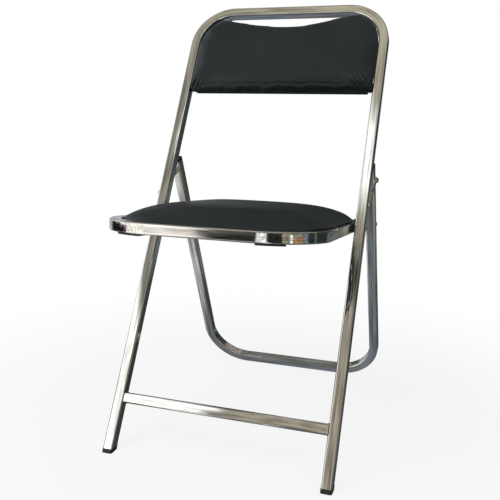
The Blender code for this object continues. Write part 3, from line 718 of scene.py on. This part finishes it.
class CHAIR_OT_rear_tube(bpy.types.Operator):
    """Rear frame, with its bar on the floor."""
    bl_idname = "chair.rear_tube"
    bl_label = "Rear frame"

    def execute(self, context):
        tubes = settings("tubes")
        place = rear_axes()
        inset = tubes.side / 2 - tubes.corner
        lean = tubes.rear_lean
        lift = inset * (math.cos(lean) + math.sin(lean)) + tubes.corner
        bar = (lift - PIVOTS["rear_fold"].z) / math.cos(lean)
        path = u_path(tubes.leg_x, tubes.rear_top, bar, tubes.rear_bend, tubes.bend_steps)
        rear = square_tube("rear_frame_chrome", path, place, tube_chrome())
        hand_over(rear, "rear", "chrome", None, "rear_frame")
        return {"FINISHED"}


class CHAIR_OT_seat_rim(bpy.types.Operator):
    """Bent rim of the seat."""
    bl_idname = "chair.seat_rim"
    bl_label = "Seat rim"

    def execute(self, context):
        tubes = settings("tubes")
        path = u_path(tubes.rail_x, tubes.seat_rear, -tubes.seat_front + tubes.side / 2, tubes.seat_bend,
                      tubes.bend_steps)
        rim = square_tube("seat_rim_chrome", path, seat_axes(), tube_chrome())
        hand_over(rim, "seat", "chrome", None, "seat_frame")
        return {"FINISHED"}


class CHAIR_OT_links(bpy.types.Operator):
    """Flat links with round ends and eased edges."""
    bl_idname = "chair.links"
    bl_label = "Links"

    def execute(self, context):
        fittings = settings("fittings")
        reach = PIVOTS["rear_fold"] - PIVOTS["link_fold"]
        along = reach.normalized()
        place = axes(PIVOTS["link_fold"], along, Vector((1.0, 0.0, 0.0)).cross(along))
        inverse = place.inverted()
        finish = plain_chrome("link_chrome", settings("chrome").tint)
        for side, _ in SIDES:
            points = node_points("link_" + side)
            low, high = points[:, 0].min(), points[:, 0].max()
            half = max(abs((inverse @ Vector(point)).z) for point in points)
            outline = []
            for middle, start in ((0.0, math.pi), (reach.length, 0.0)):
                for step in range(fittings.link_steps + 1):
                    turn = start + math.pi * step / fittings.link_steps
                    outline.append((middle + half * math.sin(turn), half * math.cos(turn)))
            shape = bmesh.new()
            shape.faces.new([shape.verts.new((low, up, out)) for up, out in outline])
            made = bmesh.ops.extrude_face_region(shape, geom=shape.faces[:])
            bmesh.ops.translate(shape, vec=(high - low, 0.0, 0.0),
                                verts=[part for part in made["geom"] if isinstance(part, bmesh.types.BMVert)])
            bmesh.ops.recalc_face_normals(shape, faces=shape.faces[:])
            mesh = bpy.data.meshes.new("link_chrome_" + side)
            shape.to_mesh(mesh)
            shape.free()
            item = add_object("link_chrome_" + side, mesh)
            item.data.shade_smooth()
            ease = item.modifiers.new("ease", "BEVEL")
            ease.width = fittings.link_ease
            ease.segments = 3
            ease.harden_normals = True
            bake(item)
            item.data.transform(place)
            hand_over(item, "links", "chrome", finish, "link_" + side)
        return {"FINISHED"}


# Fittings
class CHAIR_OT_rivets(bpy.types.Operator):
    """Rivet heads and tails at every pivot."""
    bl_idname = "chair.rivets"
    bl_label = "Rivets"

    def execute(self, context):
        fittings = settings("fittings")
        finish = plain_chrome("rivet_steel", settings("chrome").steel)
        tree = rivet_tree()
        groups = {
            "front": ("seat_rivet", "link_rivet"),
            "rear": ("leg_rivet", "rear_rivet"),
            "seat": ("rear_rivet_tail",),
        }
        for body, names in groups.items():
            heads, nodes = [], []
            for name in names:
                for side, way in SIDES:
                    node = f"{name}_{side}"
                    nodes.append(node)
                    ends = {"rear_rivet": (way,), "rear_rivet_tail": (-way,)}.get(name, (way, -way))
                    heads += [rivet_head(node, end) for end in ends]
            item = head_points(body + "_rivets", heads)
            tree.run(item, Steps=fittings.head_steps, Finish=finish)
            hand_over(item, body, "steel", None, *nodes)
        return {"FINISHED"}


def rivet_head(node, end):
    """Seat, axis, radius and height of a rivet's head at one end of a CAD rivet."""
    full, depth = 0.9, 0.006
    top, radius = tip(node, (end, 0.0, 0.0))
    points = node_points(node)
    reach = points[:, 0] * end
    wide = np.hypot(points[:, 1] - top.y, points[:, 2] - top.z) > full * radius
    near = reach > reach.max() - depth
    height = max(float(reach.max() - reach[wide & near].max()), settings("fittings").rivet_dome)
    return top - Vector((end * height, 0.0, 0.0)), (end, 0.0, 0.0), radius, height


class CHAIR_OT_screws(bpy.types.Operator):
    """Screws of the seat board and of the backrest."""
    bl_idname = "chair.screws"
    bl_label = "Screws"

    def execute(self, context):
        fittings = settings("fittings")
        finish = plain_chrome("screw_steel", settings("chrome").steel)
        tree = screw_tree()
        down = -(seat_axes().to_3x3() @ Vector((0.0, 0.0, 1.0)))
        behind = -(front_axes().to_3x3() @ Vector((0.0, 0.0, 1.0)))
        groups = (
            ("seat", "seat_screw", ("front_left", "front_right", "rear_left", "rear_right"), down),
            ("front", "back_screw", ("lower_left", "lower_right", "upper_left", "upper_right"), behind),
        )
        for body, name, ends, axis in groups:
            nodes = [f"{name}_{end}" for end in ends]
            heads = []
            for node in nodes:
                top, radius = tip(node, axis)
                heads.append((top - fittings.screw_dome * axis, axis, radius, fittings.screw_dome))
            item = head_points(name + "_heads", heads)
            tree.run(item, Steps=fittings.head_steps, Cross=fittings.cross / heads[0][2], Finish=finish)
            hand_over(item, body, "steel", None, *nodes)
        return {"FINISHED"}


class CHAIR_OT_fittings(bpy.types.Operator):
    """Finishes of the feet, caps, plugs, washers, plates, tabs and boards."""
    bl_idname = "chair.fittings"
    bl_label = "Fittings"

    def execute(self, context):
        finishes = (
            (moulded_plastic(), ("front_foot_", "rear_cap_", "seat_plug_", "seat_washer_", "rear_washer_")),
            (painted_steel(), ("seat_corner_plate_", "seat_rear_strap")),
            (plain_chrome("tab_steel", settings("chrome").steel), ("back_tab_",)),
            (pressed_board(), ("seat_board", "back_board")),
        )
        for material, names in finishes:
            for name, item in frame["nodes"].items():
                if name.startswith(names):
                    item.data.materials.clear()
                    item.data.materials.append(material)
        return {"FINISHED"}


# Pads: a copy of the CAD pad is plumped as cloth and then drawn to its frame
CLOTH_FRAMES = 20  # frames of cloth that plump a pad
PAD_GAP = 0.0004  # room between a pad and the tube beside or under it
PAD_SHOULDER = 0.004  # a point this little below the tube's top goes over the tube


def soft_shape(name, node, cell):
    """A copy of a CAD pad as an even grid of cloth."""
    item = add_object(name, frame["nodes"][node].data.copy())
    shape = bmesh.new()
    shape.from_mesh(item.data)
    bmesh.ops.remove_doubles(shape, verts=shape.verts[:], dist=MERGE)
    shape.to_mesh(item.data)
    shape.free()
    grid = item.modifiers.new("grid", "REMESH")
    grid.mode = "VOXEL"
    grid.voxel_size = cell
    grid.use_smooth_shade = True
    return bake(item)


def plump(item, held, cap):
    """Swell a pad by air pressure with cloth; held points stay, and no point goes past the cap."""
    before = points_of(item.data)
    group = item.vertex_groups.new(name="held")
    group.add([int(index) for index in np.nonzero(held)[0]], 1.0, "REPLACE")
    cloth = item.modifiers.new("plump", "CLOTH")
    rule = cloth.settings
    rule.quality = 5
    rule.mass = 0.3
    rule.tension_stiffness = 15.0
    rule.compression_stiffness = 15.0
    rule.shear_stiffness = 5.0
    rule.bending_stiffness = 0.5
    rule.use_pressure = True
    rule.uniform_pressure_force = settings("pads").pressure
    rule.effector_weights.gravity = 0.0
    rule.vertex_group_mass = "held"
    cloth.point_cache.frame_start = 1
    cloth.point_cache.frame_end = CLOTH_FRAMES
    for step in range(1, CLOTH_FRAMES + 1):
        bpy.context.scene.frame_set(step)
    bake(item)
    bpy.context.scene.frame_set(1)
    move = points_of(item.data) - before
    far = np.linalg.norm(move, axis=1, keepdims=True)
    place_points(item.data, before + move * np.minimum(1.0, cap / np.maximum(far, 1e-9)))
    item.vertex_groups.clear()


def relax(mesh, times, chosen=None):
    """Even out a mesh: each point, or each chosen one, goes half way to the middle of its neighbours."""
    shape = bmesh.new()
    shape.from_mesh(mesh)
    verts = [vert for vert in shape.verts if chosen is None or chosen[vert.index]]
    for _ in range(times):
        bmesh.ops.smooth_vert(shape, verts=verts, factor=0.5, use_axis_x=True, use_axis_y=True,
                              use_axis_z=True)
    shape.to_mesh(mesh)
    shape.free()


def finer(item):
    """One subdivision, applied."""
    split = item.modifiers.new("finer", "SUBSURF")
    split.levels = split.render_levels = 1
    bake(item)
    item.data.shade_smooth()


def swell(low, high, values):
    """A soft step of numbers."""
    part = np.clip((values - low) / (high - low), 0.0, 1.0)
    return part * part * (3.0 - 2.0 * part)


def inside_u(x, y, half, bar, bend):
    """How far points in a bent tube's plane lie inside its inner side, and the way outwards there."""
    tube = settings("tubes").side
    way = 1.0 if bar > 0.0 else -1.0
    depth = (bar - y) * way
    side = np.abs(x)
    room = half - side
    out_x, out_y = np.sign(x), np.zeros_like(x)
    below = depth < room
    room = np.where(below, depth, room)
    out_x, out_y = np.where(below, 0.0, out_x), np.where(below, way, out_y)
    over, under = side - half + bend, bend - depth
    corner = (over > 0.0) & (under > 0.0)
    reach = np.maximum(np.hypot(over, under), 1e-9)
    room = np.where(corner, bend - reach, room)
    out_x = np.where(corner, np.sign(x) * over / reach, out_x)
    out_y = np.where(corner, way * under / reach, out_y)
    return room - tube / 2, out_x, out_y


def rail_top():
    """Height of a pad's under side where it rests on a tube, from the tube's middle."""
    return settings("tubes").side / 2 + PAD_GAP


def keep_clear(points, half, bar, bend):
    """Keep a pad out of the tube round it: beside the tube it stays inside, above it rests on top."""
    top = rail_top()
    room, out_x, out_y = inside_u(points[:, 0], points[:, 1], half, bar, bend)
    above = points[:, 2] > top - PAD_SHOULDER
    over = room < PAD_GAP
    points[:, 2] = np.where(over & above, np.maximum(points[:, 2], top), points[:, 2])
    back = np.where(over & ~above, PAD_GAP - room, 0.0)
    points[:, 0] -= out_x * back
    points[:, 1] -= out_y * back
    return points


class CHAIR_OT_seat_pad(bpy.types.Operator):
    """Crowned seat pad in vinyl; its sides lap over the rim."""
    bl_idname = "chair.seat_pad"
    bl_label = "Seat pad"

    def execute(self, context):
        tubes, pads = settings("tubes"), settings("pads")
        held, even, rounds, border = 0.004, 14, 3, 0.012
        item = soft_shape("seat_pad_vinyl", "seat_pad", pads.seat_grid)
        place = seat_axes()
        item.data.transform(place.inverted())
        points = points_of(item.data)
        plump(item, points[:, 2] < points[:, 2].min() + held, pads.seat_cap)
        relax(item.data, even)
        rim = (tubes.rail_x, -tubes.seat_front + tubes.side / 2, tubes.seat_bend)
        points = self.fit_to_rim(points_of(item.data), rim)
        for _ in range(rounds):
            place_points(item.data, keep_clear(points, *rim))
            relax(item.data, 2, inside_u(points[:, 0], points[:, 1], *rim)[0] < border)
            points = points_of(item.data)
        finer(item)
        place_points(item.data, keep_clear(points_of(item.data), *rim))
        item.data.transform(place)
        hand_over(item, "seat", "vinyl", vinyl(), "seat_pad")
        return {"FINISHED"}

    def fit_to_rim(self, points, rim):
        """Draw the pad's edge out to the rim and over its rails, and let its top fall to a thin edge there."""
        pads, top = settings("pads"), rail_top()

        # The crown sinks a little and the rear edge goes back
        sink, draw, rear_start = 0.0020, 0.0052, 0.06
        points[:, 2] -= sink * swell(0.018, 0.036, points[:, 2])
        points[:, 1] += draw * swell(rear_start, points[:, 1].max(), points[:, 1])
        x, y, z = points.T.copy()

        # Room left between the pad's edge and the rim, bearing by bearing
        bands, skirt = 120, 0.006
        room, out_x, out_y = inside_u(x, y, *rim)
        bearing = np.arctan2(y - y.mean(), x)
        marks = np.linspace(-np.pi, np.pi, bands + 1)
        upper = z > top - skirt
        band = np.clip(np.digitize(bearing, marks) - 1, 0, bands - 1)
        found = np.array([room[upper & (band == index)].min() for index in range(bands)])
        found = (np.roll(found, 1) + 2.0 * found + np.roll(found, -1)) / 4.0
        edge = np.interp(bearing, (marks[:-1] + marks[1:]) / 2, found, period=2 * np.pi)

        # The edge's goal: short of the rim at the front, and lapped over the rails farther back
        front_left, front_right = 0.0040, 0.0010
        beside = swell(-0.245, -0.165, y)
        lap = np.where(x < 0.0, pads.lap_left, pads.lap_right)
        start = np.where(x < 0.0, front_left, front_right)
        goal = start - (start + lap) * beside

        # The edge is pulled to its goal; the middle and the open rear stay
        reach = 0.060
        pull = (edge - goal) * np.clip(1.0 - (room - edge) / reach, 0.0, 1.0) ** 2
        pull = pull * (1.0 - swell(0.014, 0.030, edge)) * (1.0 - swell(0.03, 0.09, y))
        points[:, 0] += out_x * pull
        points[:, 1] += out_y * pull

        # The top falls from the crown to the edge, faster at the middle than beside the rails
        fall_middle, fall_side, fall_rear, blunt = 0.018, 0.031, 0.020, 0.002
        fall = fall_middle + fall_side * swell(0.2, 0.9, np.abs(x) / rim[0])
        inwards = np.maximum(inside_u(points[:, 0], points[:, 1], *rim)[0] - goal, 0.0)
        rear = 1.0 - np.exp(-(y.max() - y) / fall_rear)
        cap = top + pads.lip + pads.crown * (1.0 - np.exp(-inwards / fall)) * rear
        points[:, 2] = 0.5 * (z + cap - np.hypot(z - cap, blunt))
        return points


class CHAIR_OT_back_pad(bpy.types.Operator):
    """Back pad in vinyl, with a rolled lower edge and gathers at its lower corners."""
    bl_idname = "chair.back_pad"
    bl_label = "Back pad"

    def execute(self, context):
        tubes, pads = settings("tubes"), settings("pads")
        held, even = 0.003, 3
        item = soft_shape("back_pad_vinyl", "back_pad", pads.back_grid)
        place = front_axes()
        item.data.transform(place.inverted())
        points = points_of(item.data)
        low = points[:, 1].min()
        plump(item, points[:, 2] < points[:, 2].min() + held, pads.back_cap)
        relax(item.data, even)
        hoop = (tubes.leg_x, tubes.front_length - tubes.side / 2, tubes.front_bend)
        points = self.fit_to_hoop(points_of(item.data), hoop, low)
        place_points(item.data, keep_clear(points, *hoop))
        relax(item.data, 1)
        finer(item)
        finer(item)
        points = points_of(item.data)
        points[:, 1:] += self.wrinkles(points, low, front_of=swell(0.0, 0.010, points[:, 2]))
        place_points(item.data, keep_clear(points, *hoop))
        item.data.transform(place)
        hand_over(item, "front", "vinyl", vinyl(), "back_pad")
        return {"FINISHED"}

    def fit_to_hoop(self, points, hoop, low):
        """Press the pad's front against its frame, lean it over, and roll its lower edge under."""
        pads = settings("pads")
        spread, lifted = 0.0030, 0.0040
        bulge, bulge_up, bulge_wide = 0.0034, 0.018, 0.013
        roll, roll_up = 0.30, 0.011
        front = swell(0.000, 0.012, points[:, 2])
        room, out_x, out_y = inside_u(points[:, 0], points[:, 1], *hoop)
        near = 1.0 - swell(0.0, 0.014, room)
        points[:, 0] += front * (spread * near * out_x + pads.drift * (1.0 - near * (out_x < 0.0)))
        lean = math.tan(pads.tilt) * points[:, 0]
        points[:, 1] += front * spread * near * out_y + lean
        points[:, 1] += lifted * swell(0.03, 0.11, points[:, 0]) * swell(0.06, 0.14, points[:, 1] - low)
        up = points[:, 1] - low - lean
        points[:, 2] += bulge * front * np.exp(-((up - bulge_up) / bulge_wide) ** 2)
        points[:, 2] -= np.maximum(points[:, 2], 0.0) * roll * (1.0 - np.clip(up / roll_up, 0.0, 1.0)) ** 2
        return points

    def wrinkles(self, points, low, front_of):
        """Moves along the legs and outwards: gathers at the lower corners and a wavy rolled edge."""
        pads = settings("pads")
        x = points[:, 0]
        up = points[:, 1] - low - math.tan(pads.tilt) * x
        side = np.sign(x)
        left = side < 0.0

        # Gathers: slanting ridges that fade towards the middle and upwards, and are smaller at the left
        slant, ridge, cross_ridge = 0.75, 0.0092, 0.0058
        inwards = np.abs(x).max() - np.abs(x)
        wide = 0.064 - 0.026 * left
        tall = 0.044 - 0.010 * left
        spread = (1.0 - swell(0.4 * wide, wide, inwards)) * swell(0.002, 0.012, inwards)
        stand = swell(0.004, 0.010, up) * (1.0 - swell(0.014, tall, up))
        lines = 2 * np.pi * (inwards - slant * up)
        ridges = np.sin(lines / ridge) + 0.5 * np.sin(lines / cross_ridge + 1.3 * side)
        out = pads.fold * ridges * spread * stand * front_of

        # The rolled edge waves, under a crease
        wave_out, wave_along, crease_deep, crease_up, crease_wide = 0.0008, 0.0009, 0.0012, 0.0125, 0.0022
        waves = np.sin(92.0 * x + 0.6) + 0.7 * np.sin(171.0 * x + 2.1) + 0.5 * np.sin(317.0 * x)
        edge = 1.0 - swell(0.004, 0.014, up)
        crease = np.exp(-((up - crease_up - 0.0007 * waves) / crease_wide) ** 2)
        out += front_of * (wave_out * waves * edge - crease_deep * crease)
        return np.column_stack((wave_along * waves * edge, out))


def board_outline(node, place):
    """A board's under side in its frame's axes: its corners in order, its level and the board's thickness."""
    faces_down = -0.9
    shape = bmesh.new()
    shape.from_mesh(frame["nodes"][node].data)
    bmesh.ops.transform(shape, matrix=place.inverted(), verts=shape.verts[:])
    bmesh.ops.remove_doubles(shape, verts=shape.verts[:], dist=MERGE)
    ways = {}
    for edge in shape.edges:
        if sorted(face.normal.z < faces_down for face in edge.link_faces) == [False, True]:
            for here, there in (edge.verts, reversed(edge.verts)):
                ways.setdefault(here, []).append(there)
    loop = [max(ways, key=lambda vert: vert.co.x)]
    step = ways[loop[0]][0]
    while step is not loop[0]:
        loop.append(step)
        step = next(vert for vert in ways[step] if vert is not loop[-2])
    corners = np.array([vert.co.xy for vert in loop])
    levels = [vert.co.z for vert in shape.verts]
    shape.free()
    return corners, min(levels), max(levels) - min(levels)


class CHAIR_OT_hems(bpy.types.Operator):
    """Vinyl folded under the edges of both boards, held by staples."""
    bl_idname = "chair.hems"
    bl_label = "Hems and staples"

    def execute(self, context):
        finish, metal = vinyl(), plain_chrome("staple_wire", settings("chrome").steel)
        for name, body, place in (("back", "front", front_axes()), ("seat", "seat", seat_axes())):
            corners, level, thick = board_outline(name + "_board", place)
            item, staples = self.hem(name + "_hem", corners, level, thick)
            item.data.transform(place)
            hand_over(item, body, "vinyl", finish)
            wires = head_points(name + "_staples", staples)
            rivet_tree(bars=True).run(wires, Steps=settings("fittings").wire_steps, Finish=metal)
            wires.data.transform(place)
            hand_over(wires, body, "steel", None)
        return {"FINISHED"}

    def hem(self, name, corners, level, thick):
        """A closed band round the board's edge, with a wavy inner side, and the places of its staples."""
        pads = settings("pads")

        # Even steps round the board, with the way along and the way out at each
        step_length = 0.003
        ahead = np.roll(corners, -1, axis=0) - corners
        before = corners - np.roll(corners, 1, axis=0)
        run = np.concatenate(([0.0], np.cumsum(np.linalg.norm(ahead, axis=1))))
        ring = np.vstack((corners, corners[:1]))
        steps = int(run[-1] / step_length)
        at = np.arange(steps) * run[-1] / steps
        points = np.column_stack([np.interp(at, run, ring[:, axis]) for axis in (0, 1)])
        along = np.roll(points, -1, axis=0) - np.roll(points, 1, axis=0)
        along /= np.linalg.norm(along, axis=1, keepdims=True)
        out = np.column_stack((along[:, 1], -along[:, 0]))
        if np.sum(out * (points - points.mean(0))) < 0.0:
            out = -out

        # The vinyl reaches in by a wavy width below the board and an even one above; mitres at sharp corners
        above, sharp_turn, mitre = 0.0260, 0.7, 0.0006
        turn = np.arctan2(before[:, 0] * ahead[:, 1] - before[:, 1] * ahead[:, 0],
                          np.sum(before * ahead, axis=1))
        width = pads.hem + 0.0016 * np.sin(76.0 * at) + 0.0011 * np.sin(170.0 * at + 1.0)
        inner = np.full(steps, above)
        for sharp in run[:-1][np.abs(turn) > sharp_turn]:
            away = np.abs((at - sharp + run[-1] / 2) % run[-1] - run[-1] / 2)
            width, inner = np.minimum(width, away + mitre), np.minimum(inner, away + mitre)

        # Pleats, deepest where the edge bends
        pleat_deep, pleats, least = 0.0006, 520.0, 0.15
        bent = np.abs(np.roll(along, -2, axis=0) - np.roll(along, 2, axis=0)).sum(1)
        pleat = pleat_deep * np.clip(6.0 * bent, least, 1.0) * np.maximum(np.sin(pleats * at), 0.0)

        # The band's section, from above the board's edge, round it and back inside: out, down, pleated or not
        cloth, sunk, lap, turned = pads.cloth, 0.0001, thick + 0.00022, -0.0012
        section = (
            (0.3 * cloth, -lap, False), (cloth, -0.9 * thick, False), (cloth, 0.0, False),
            (turned, cloth, True), (-0.5 * width, cloth, True), (-width, cloth, False),
            (-width, -sunk, False), (-sunk, -sunk, False), (-sunk, sunk - thick, False),
            (-inner, sunk - thick, False), (-inner, -lap, False),
        )
        rings = []
        for offset, height, pleated in section:
            flat = points + out * np.broadcast_to(offset, steps)[:, None]
            lift = pleat if pleated else 0.0
            rings.append(np.column_stack((flat, np.broadcast_to(level - height - lift, steps))))
        rows = len(section)
        faces = [(row * steps + step, row * steps + (step + 1) % steps,
                  (row + 1) % rows * steps + (step + 1) % steps, (row + 1) % rows * steps + step)
                 for row in range(rows) for step in range(steps)]
        mesh = bpy.data.meshes.new(name)
        mesh.from_pydata(np.vstack(rings).tolist(), [], faces)
        shape = bmesh.new()
        shape.from_mesh(mesh)
        bmesh.ops.recalc_face_normals(shape, faces=shape.faces[:])
        shape.to_mesh(mesh)
        shape.free()
        mesh.shade_smooth()

        # Staples along the hem where it has its full width, each a little askew
        full, inset, askew, wire_radius = 0.8, 0.55, 0.35, 0.00045
        staples = []
        for step in range(0, steps, max(1, round(pads.staple_gap * steps / run[-1]))):
            if width[step] > full * pads.hem:
                seat = points[step] - out[step] * inset * width[step]
                tilt = along[step] + askew * math.sin(2.3 * step) * out[step]
                staples.append((Vector((*seat, level - cloth - pleat[step])), Vector((*tilt, 0.0)), wire_radius,
                                pads.staple / 2))
        return add_object(name, mesh), staples


# Stage
def between(value, low, high, soft):
    """One between two values, with soft ends."""
    return value.step(low - soft, low + soft) * value.step(high - soft, high + soft, 1.0, 0.0)


def surround_finish():
    """What the chrome mirrors: soft panels round the stage, with uneven edges and tone."""
    material = bpy.data.materials.new("studio_wall")
    material.use_nodes = True
    tree = material.node_tree
    tree.nodes.remove(tree.nodes["Principled BSDF"])
    coords = Value(tree, tree.nodes.new("ShaderNodeTexCoord").outputs["Object"])
    x, y, z = coords.node("ShaderNodeVectorMath", {"operation": "NORMALIZE"}, {0: coords}).parts()
    degrees, upright_sway = 180 / math.pi, 0.7
    sway = 4.0 * (coords.noise(0.9, 2.0) - 0.5) + 6.0 * (coords.noise(1.9, 1.0) - 0.5)
    bearing = x.maths("ARCTAN2", x, -y) * degrees + sway
    height = z.maths("ARCSINE", z) * degrees + upright_sway * sway
    wall = BARE_WALL
    for _, start, end, low, high, soft, shade in PANELS:
        wall = (between(bearing, start, end, soft) * between(height, low, high, soft)).mix(wall, shade)
    mottle = coords.noise(1.0, 2.0, 0.5).step(0.25, 0.75, 0.55, 1.45)
    wall = wall.node("ShaderNodeVectorMath", {"operation": "SCALE"}, {0: wall, "Scale": mottle})
    glow = coords.node("ShaderNodeEmission", {}, {"Color": wall, "Strength": 1.0})
    tree.links.new(glow.socket, tree.nodes["Material Output"].inputs["Surface"])
    return material


def floor_finish():
    """Pale floor that lets the white ground show through and keeps the shadow."""
    stage = settings("stage")
    bounce, near, far = 0.35, 0.35, 1.1
    material, shader, here = new_material("pale_floor")
    tree = material.node_tree
    seen = here.node("ShaderNodeLightPath", {}, {}, "Is Camera Ray")
    dim = [bounce * part for part in stage.floor]
    wire(shader, Base_Color=seen.mix(dim, stage.floor), Roughness=0.9, Specular_IOR_Level=0.0)
    away = here.node("ShaderNodeVectorMath", {"operation": "LENGTH"}, {0: here}, "Value")
    clear = away.step(near, far, stage.clear, 1.0) * seen
    open_air = here.node("ShaderNodeBsdfTransparent", {}, {})
    both = here.node("ShaderNodeMixShader", {}, {0: clear, 1: Value(tree, shader.outputs[0]), 2: open_air})
    tree.links.new(both.socket, tree.nodes["Material Output"].inputs["Surface"])
    return material


def white_world():
    """White to the camera and to reflections, softer as light."""
    stage = settings("stage")
    world = bpy.data.worlds.new("white_ground")
    bpy.context.scene.world = world
    world.use_nodes = True
    tree = world.node_tree
    back = tree.nodes["Background"]
    path = tree.nodes.new("ShaderNodeLightPath")
    seen = Value(tree, path.outputs["Is Camera Ray"])
    for name in ("Is Glossy Ray", "Is Transmission Ray"):
        seen = seen.maths("MAXIMUM", seen, Value(tree, path.outputs[name]))
    level = stage.ambient + seen * (1.0 - stage.ambient)
    back.inputs["Color"].default_value = (1.0, 1.0, 1.0, 1.0)
    tree.links.new(level.socket, back.inputs["Strength"])


def soft_lamp(name, place, size, power):
    """A round lamp aimed at the chair's middle, which the chrome doesn't mirror."""
    lamp = bpy.data.lights.new(name, "AREA")
    lamp.energy = power
    lamp.shape = "DISK"
    lamp.size = size
    item = add_object(name, lamp)
    item.location = place
    item.rotation_euler = (Vector(MIDDLE) - Vector(place)).to_track_quat("-Z", "Y").to_euler()
    item.visible_glossy = False


class CHAIR_OT_stage(bpy.types.Operator):
    """White ground, studio wall for reflections, lamps and camera."""
    bl_idname = "chair.stage"
    bl_label = "Stage"

    def execute(self, context):
        stage = settings("stage")
        floor_size, wall_radius = 4.0, 14.0
        white_world()
        floor = add_object("floor", bpy.data.meshes.new("floor"))
        shape = bmesh.new()
        bmesh.ops.create_grid(shape, x_segments=4, y_segments=4, size=floor_size)
        shape.to_mesh(floor.data)
        floor.data.materials.append(floor_finish())
        floor.visible_glossy = False
        shape.clear()
        bmesh.ops.create_icosphere(shape, subdivisions=4, radius=wall_radius)
        wall = add_object("studio_wall", bpy.data.meshes.new("studio_wall"))
        shape.to_mesh(wall.data)
        shape.free()
        wall.location = MIDDLE
        wall.data.materials.append(surround_finish())
        for sight in ("camera", "diffuse", "transmission", "volume_scatter", "shadow"):
            setattr(wall, "visible_" + sight, False)
        soft_lamp("key", (-1.4, -1.8, 2.4), 1.6, stage.key)
        soft_lamp("side", (1.9, -0.9, 1.5), 1.4, stage.fill)
        scene = context.scene
        scene.view_settings.view_transform = "Standard"
        lens = bpy.data.cameras.new("camera")
        lens.sensor_width = 36.0
        lens.lens = stage.lens
        lens.shift_x, lens.shift_y = stage.shift
        eye = add_object("camera", lens)
        turn = Matrix.Rotation(stage.bearing, 4, "Z") @ Matrix.Rotation(math.pi / 2 - stage.height, 4, "X")
        eye.matrix_world = (Matrix.Translation(Vector(stage.camera) + front_axes().translation) @ turn
                            @ Matrix.Rotation(stage.roll, 4, "Z"))
        scene.camera = eye
        return {"FINISHED"}


OPERATORS = (CHAIR_OT_front_tubes, CHAIR_OT_rear_tube, CHAIR_OT_seat_rim, CHAIR_OT_links, CHAIR_OT_rivets,
             CHAIR_OT_screws, CHAIR_OT_fittings, CHAIR_OT_seat_pad, CHAIR_OT_back_pad, CHAIR_OT_hems,
             CHAIR_OT_stage)
SETTINGS = {"tubes": ChairTubes, "chrome": ChairChrome, "pads": ChairPads, "fittings": ChairFittings,
            "stage": ChairStage}


class CHAIR_PT_panel(bpy.types.Panel):
    """Lists the chair's pieces."""
    bl_label = "Padded folding chair"
    bl_space_type = "VIEW_3D"
    bl_region_type = "UI"
    bl_category = "Chair"

    def draw(self, context):
        for operator in OPERATORS:
            self.layout.operator(operator.bl_idname)
        for name in SETTINGS:
            box = self.layout.box()
            for field in SETTINGS[name].__annotations__:
                box.prop(settings(name), field)


def register():
    for item in (*SETTINGS.values(), *OPERATORS, CHAIR_PT_panel):
        bpy.utils.register_class(item)
    for name, group in SETTINGS.items():
        setattr(bpy.types.Scene, "chair_" + name, PointerProperty(type=group))


def unregister():
    for name in SETTINGS:
        delattr(bpy.types.Scene, "chair_" + name)
    for item in reversed((*SETTINGS.values(), *OPERATORS, CHAIR_PT_panel)):
        bpy.utils.unregister_class(item)


def main():
    """Build every piece and the stage."""
    register()
    for operator in OPERATORS:
        getattr(bpy.ops.chair, operator.bl_idname.split(".")[1])()


if __name__ == "__main__":
    main()
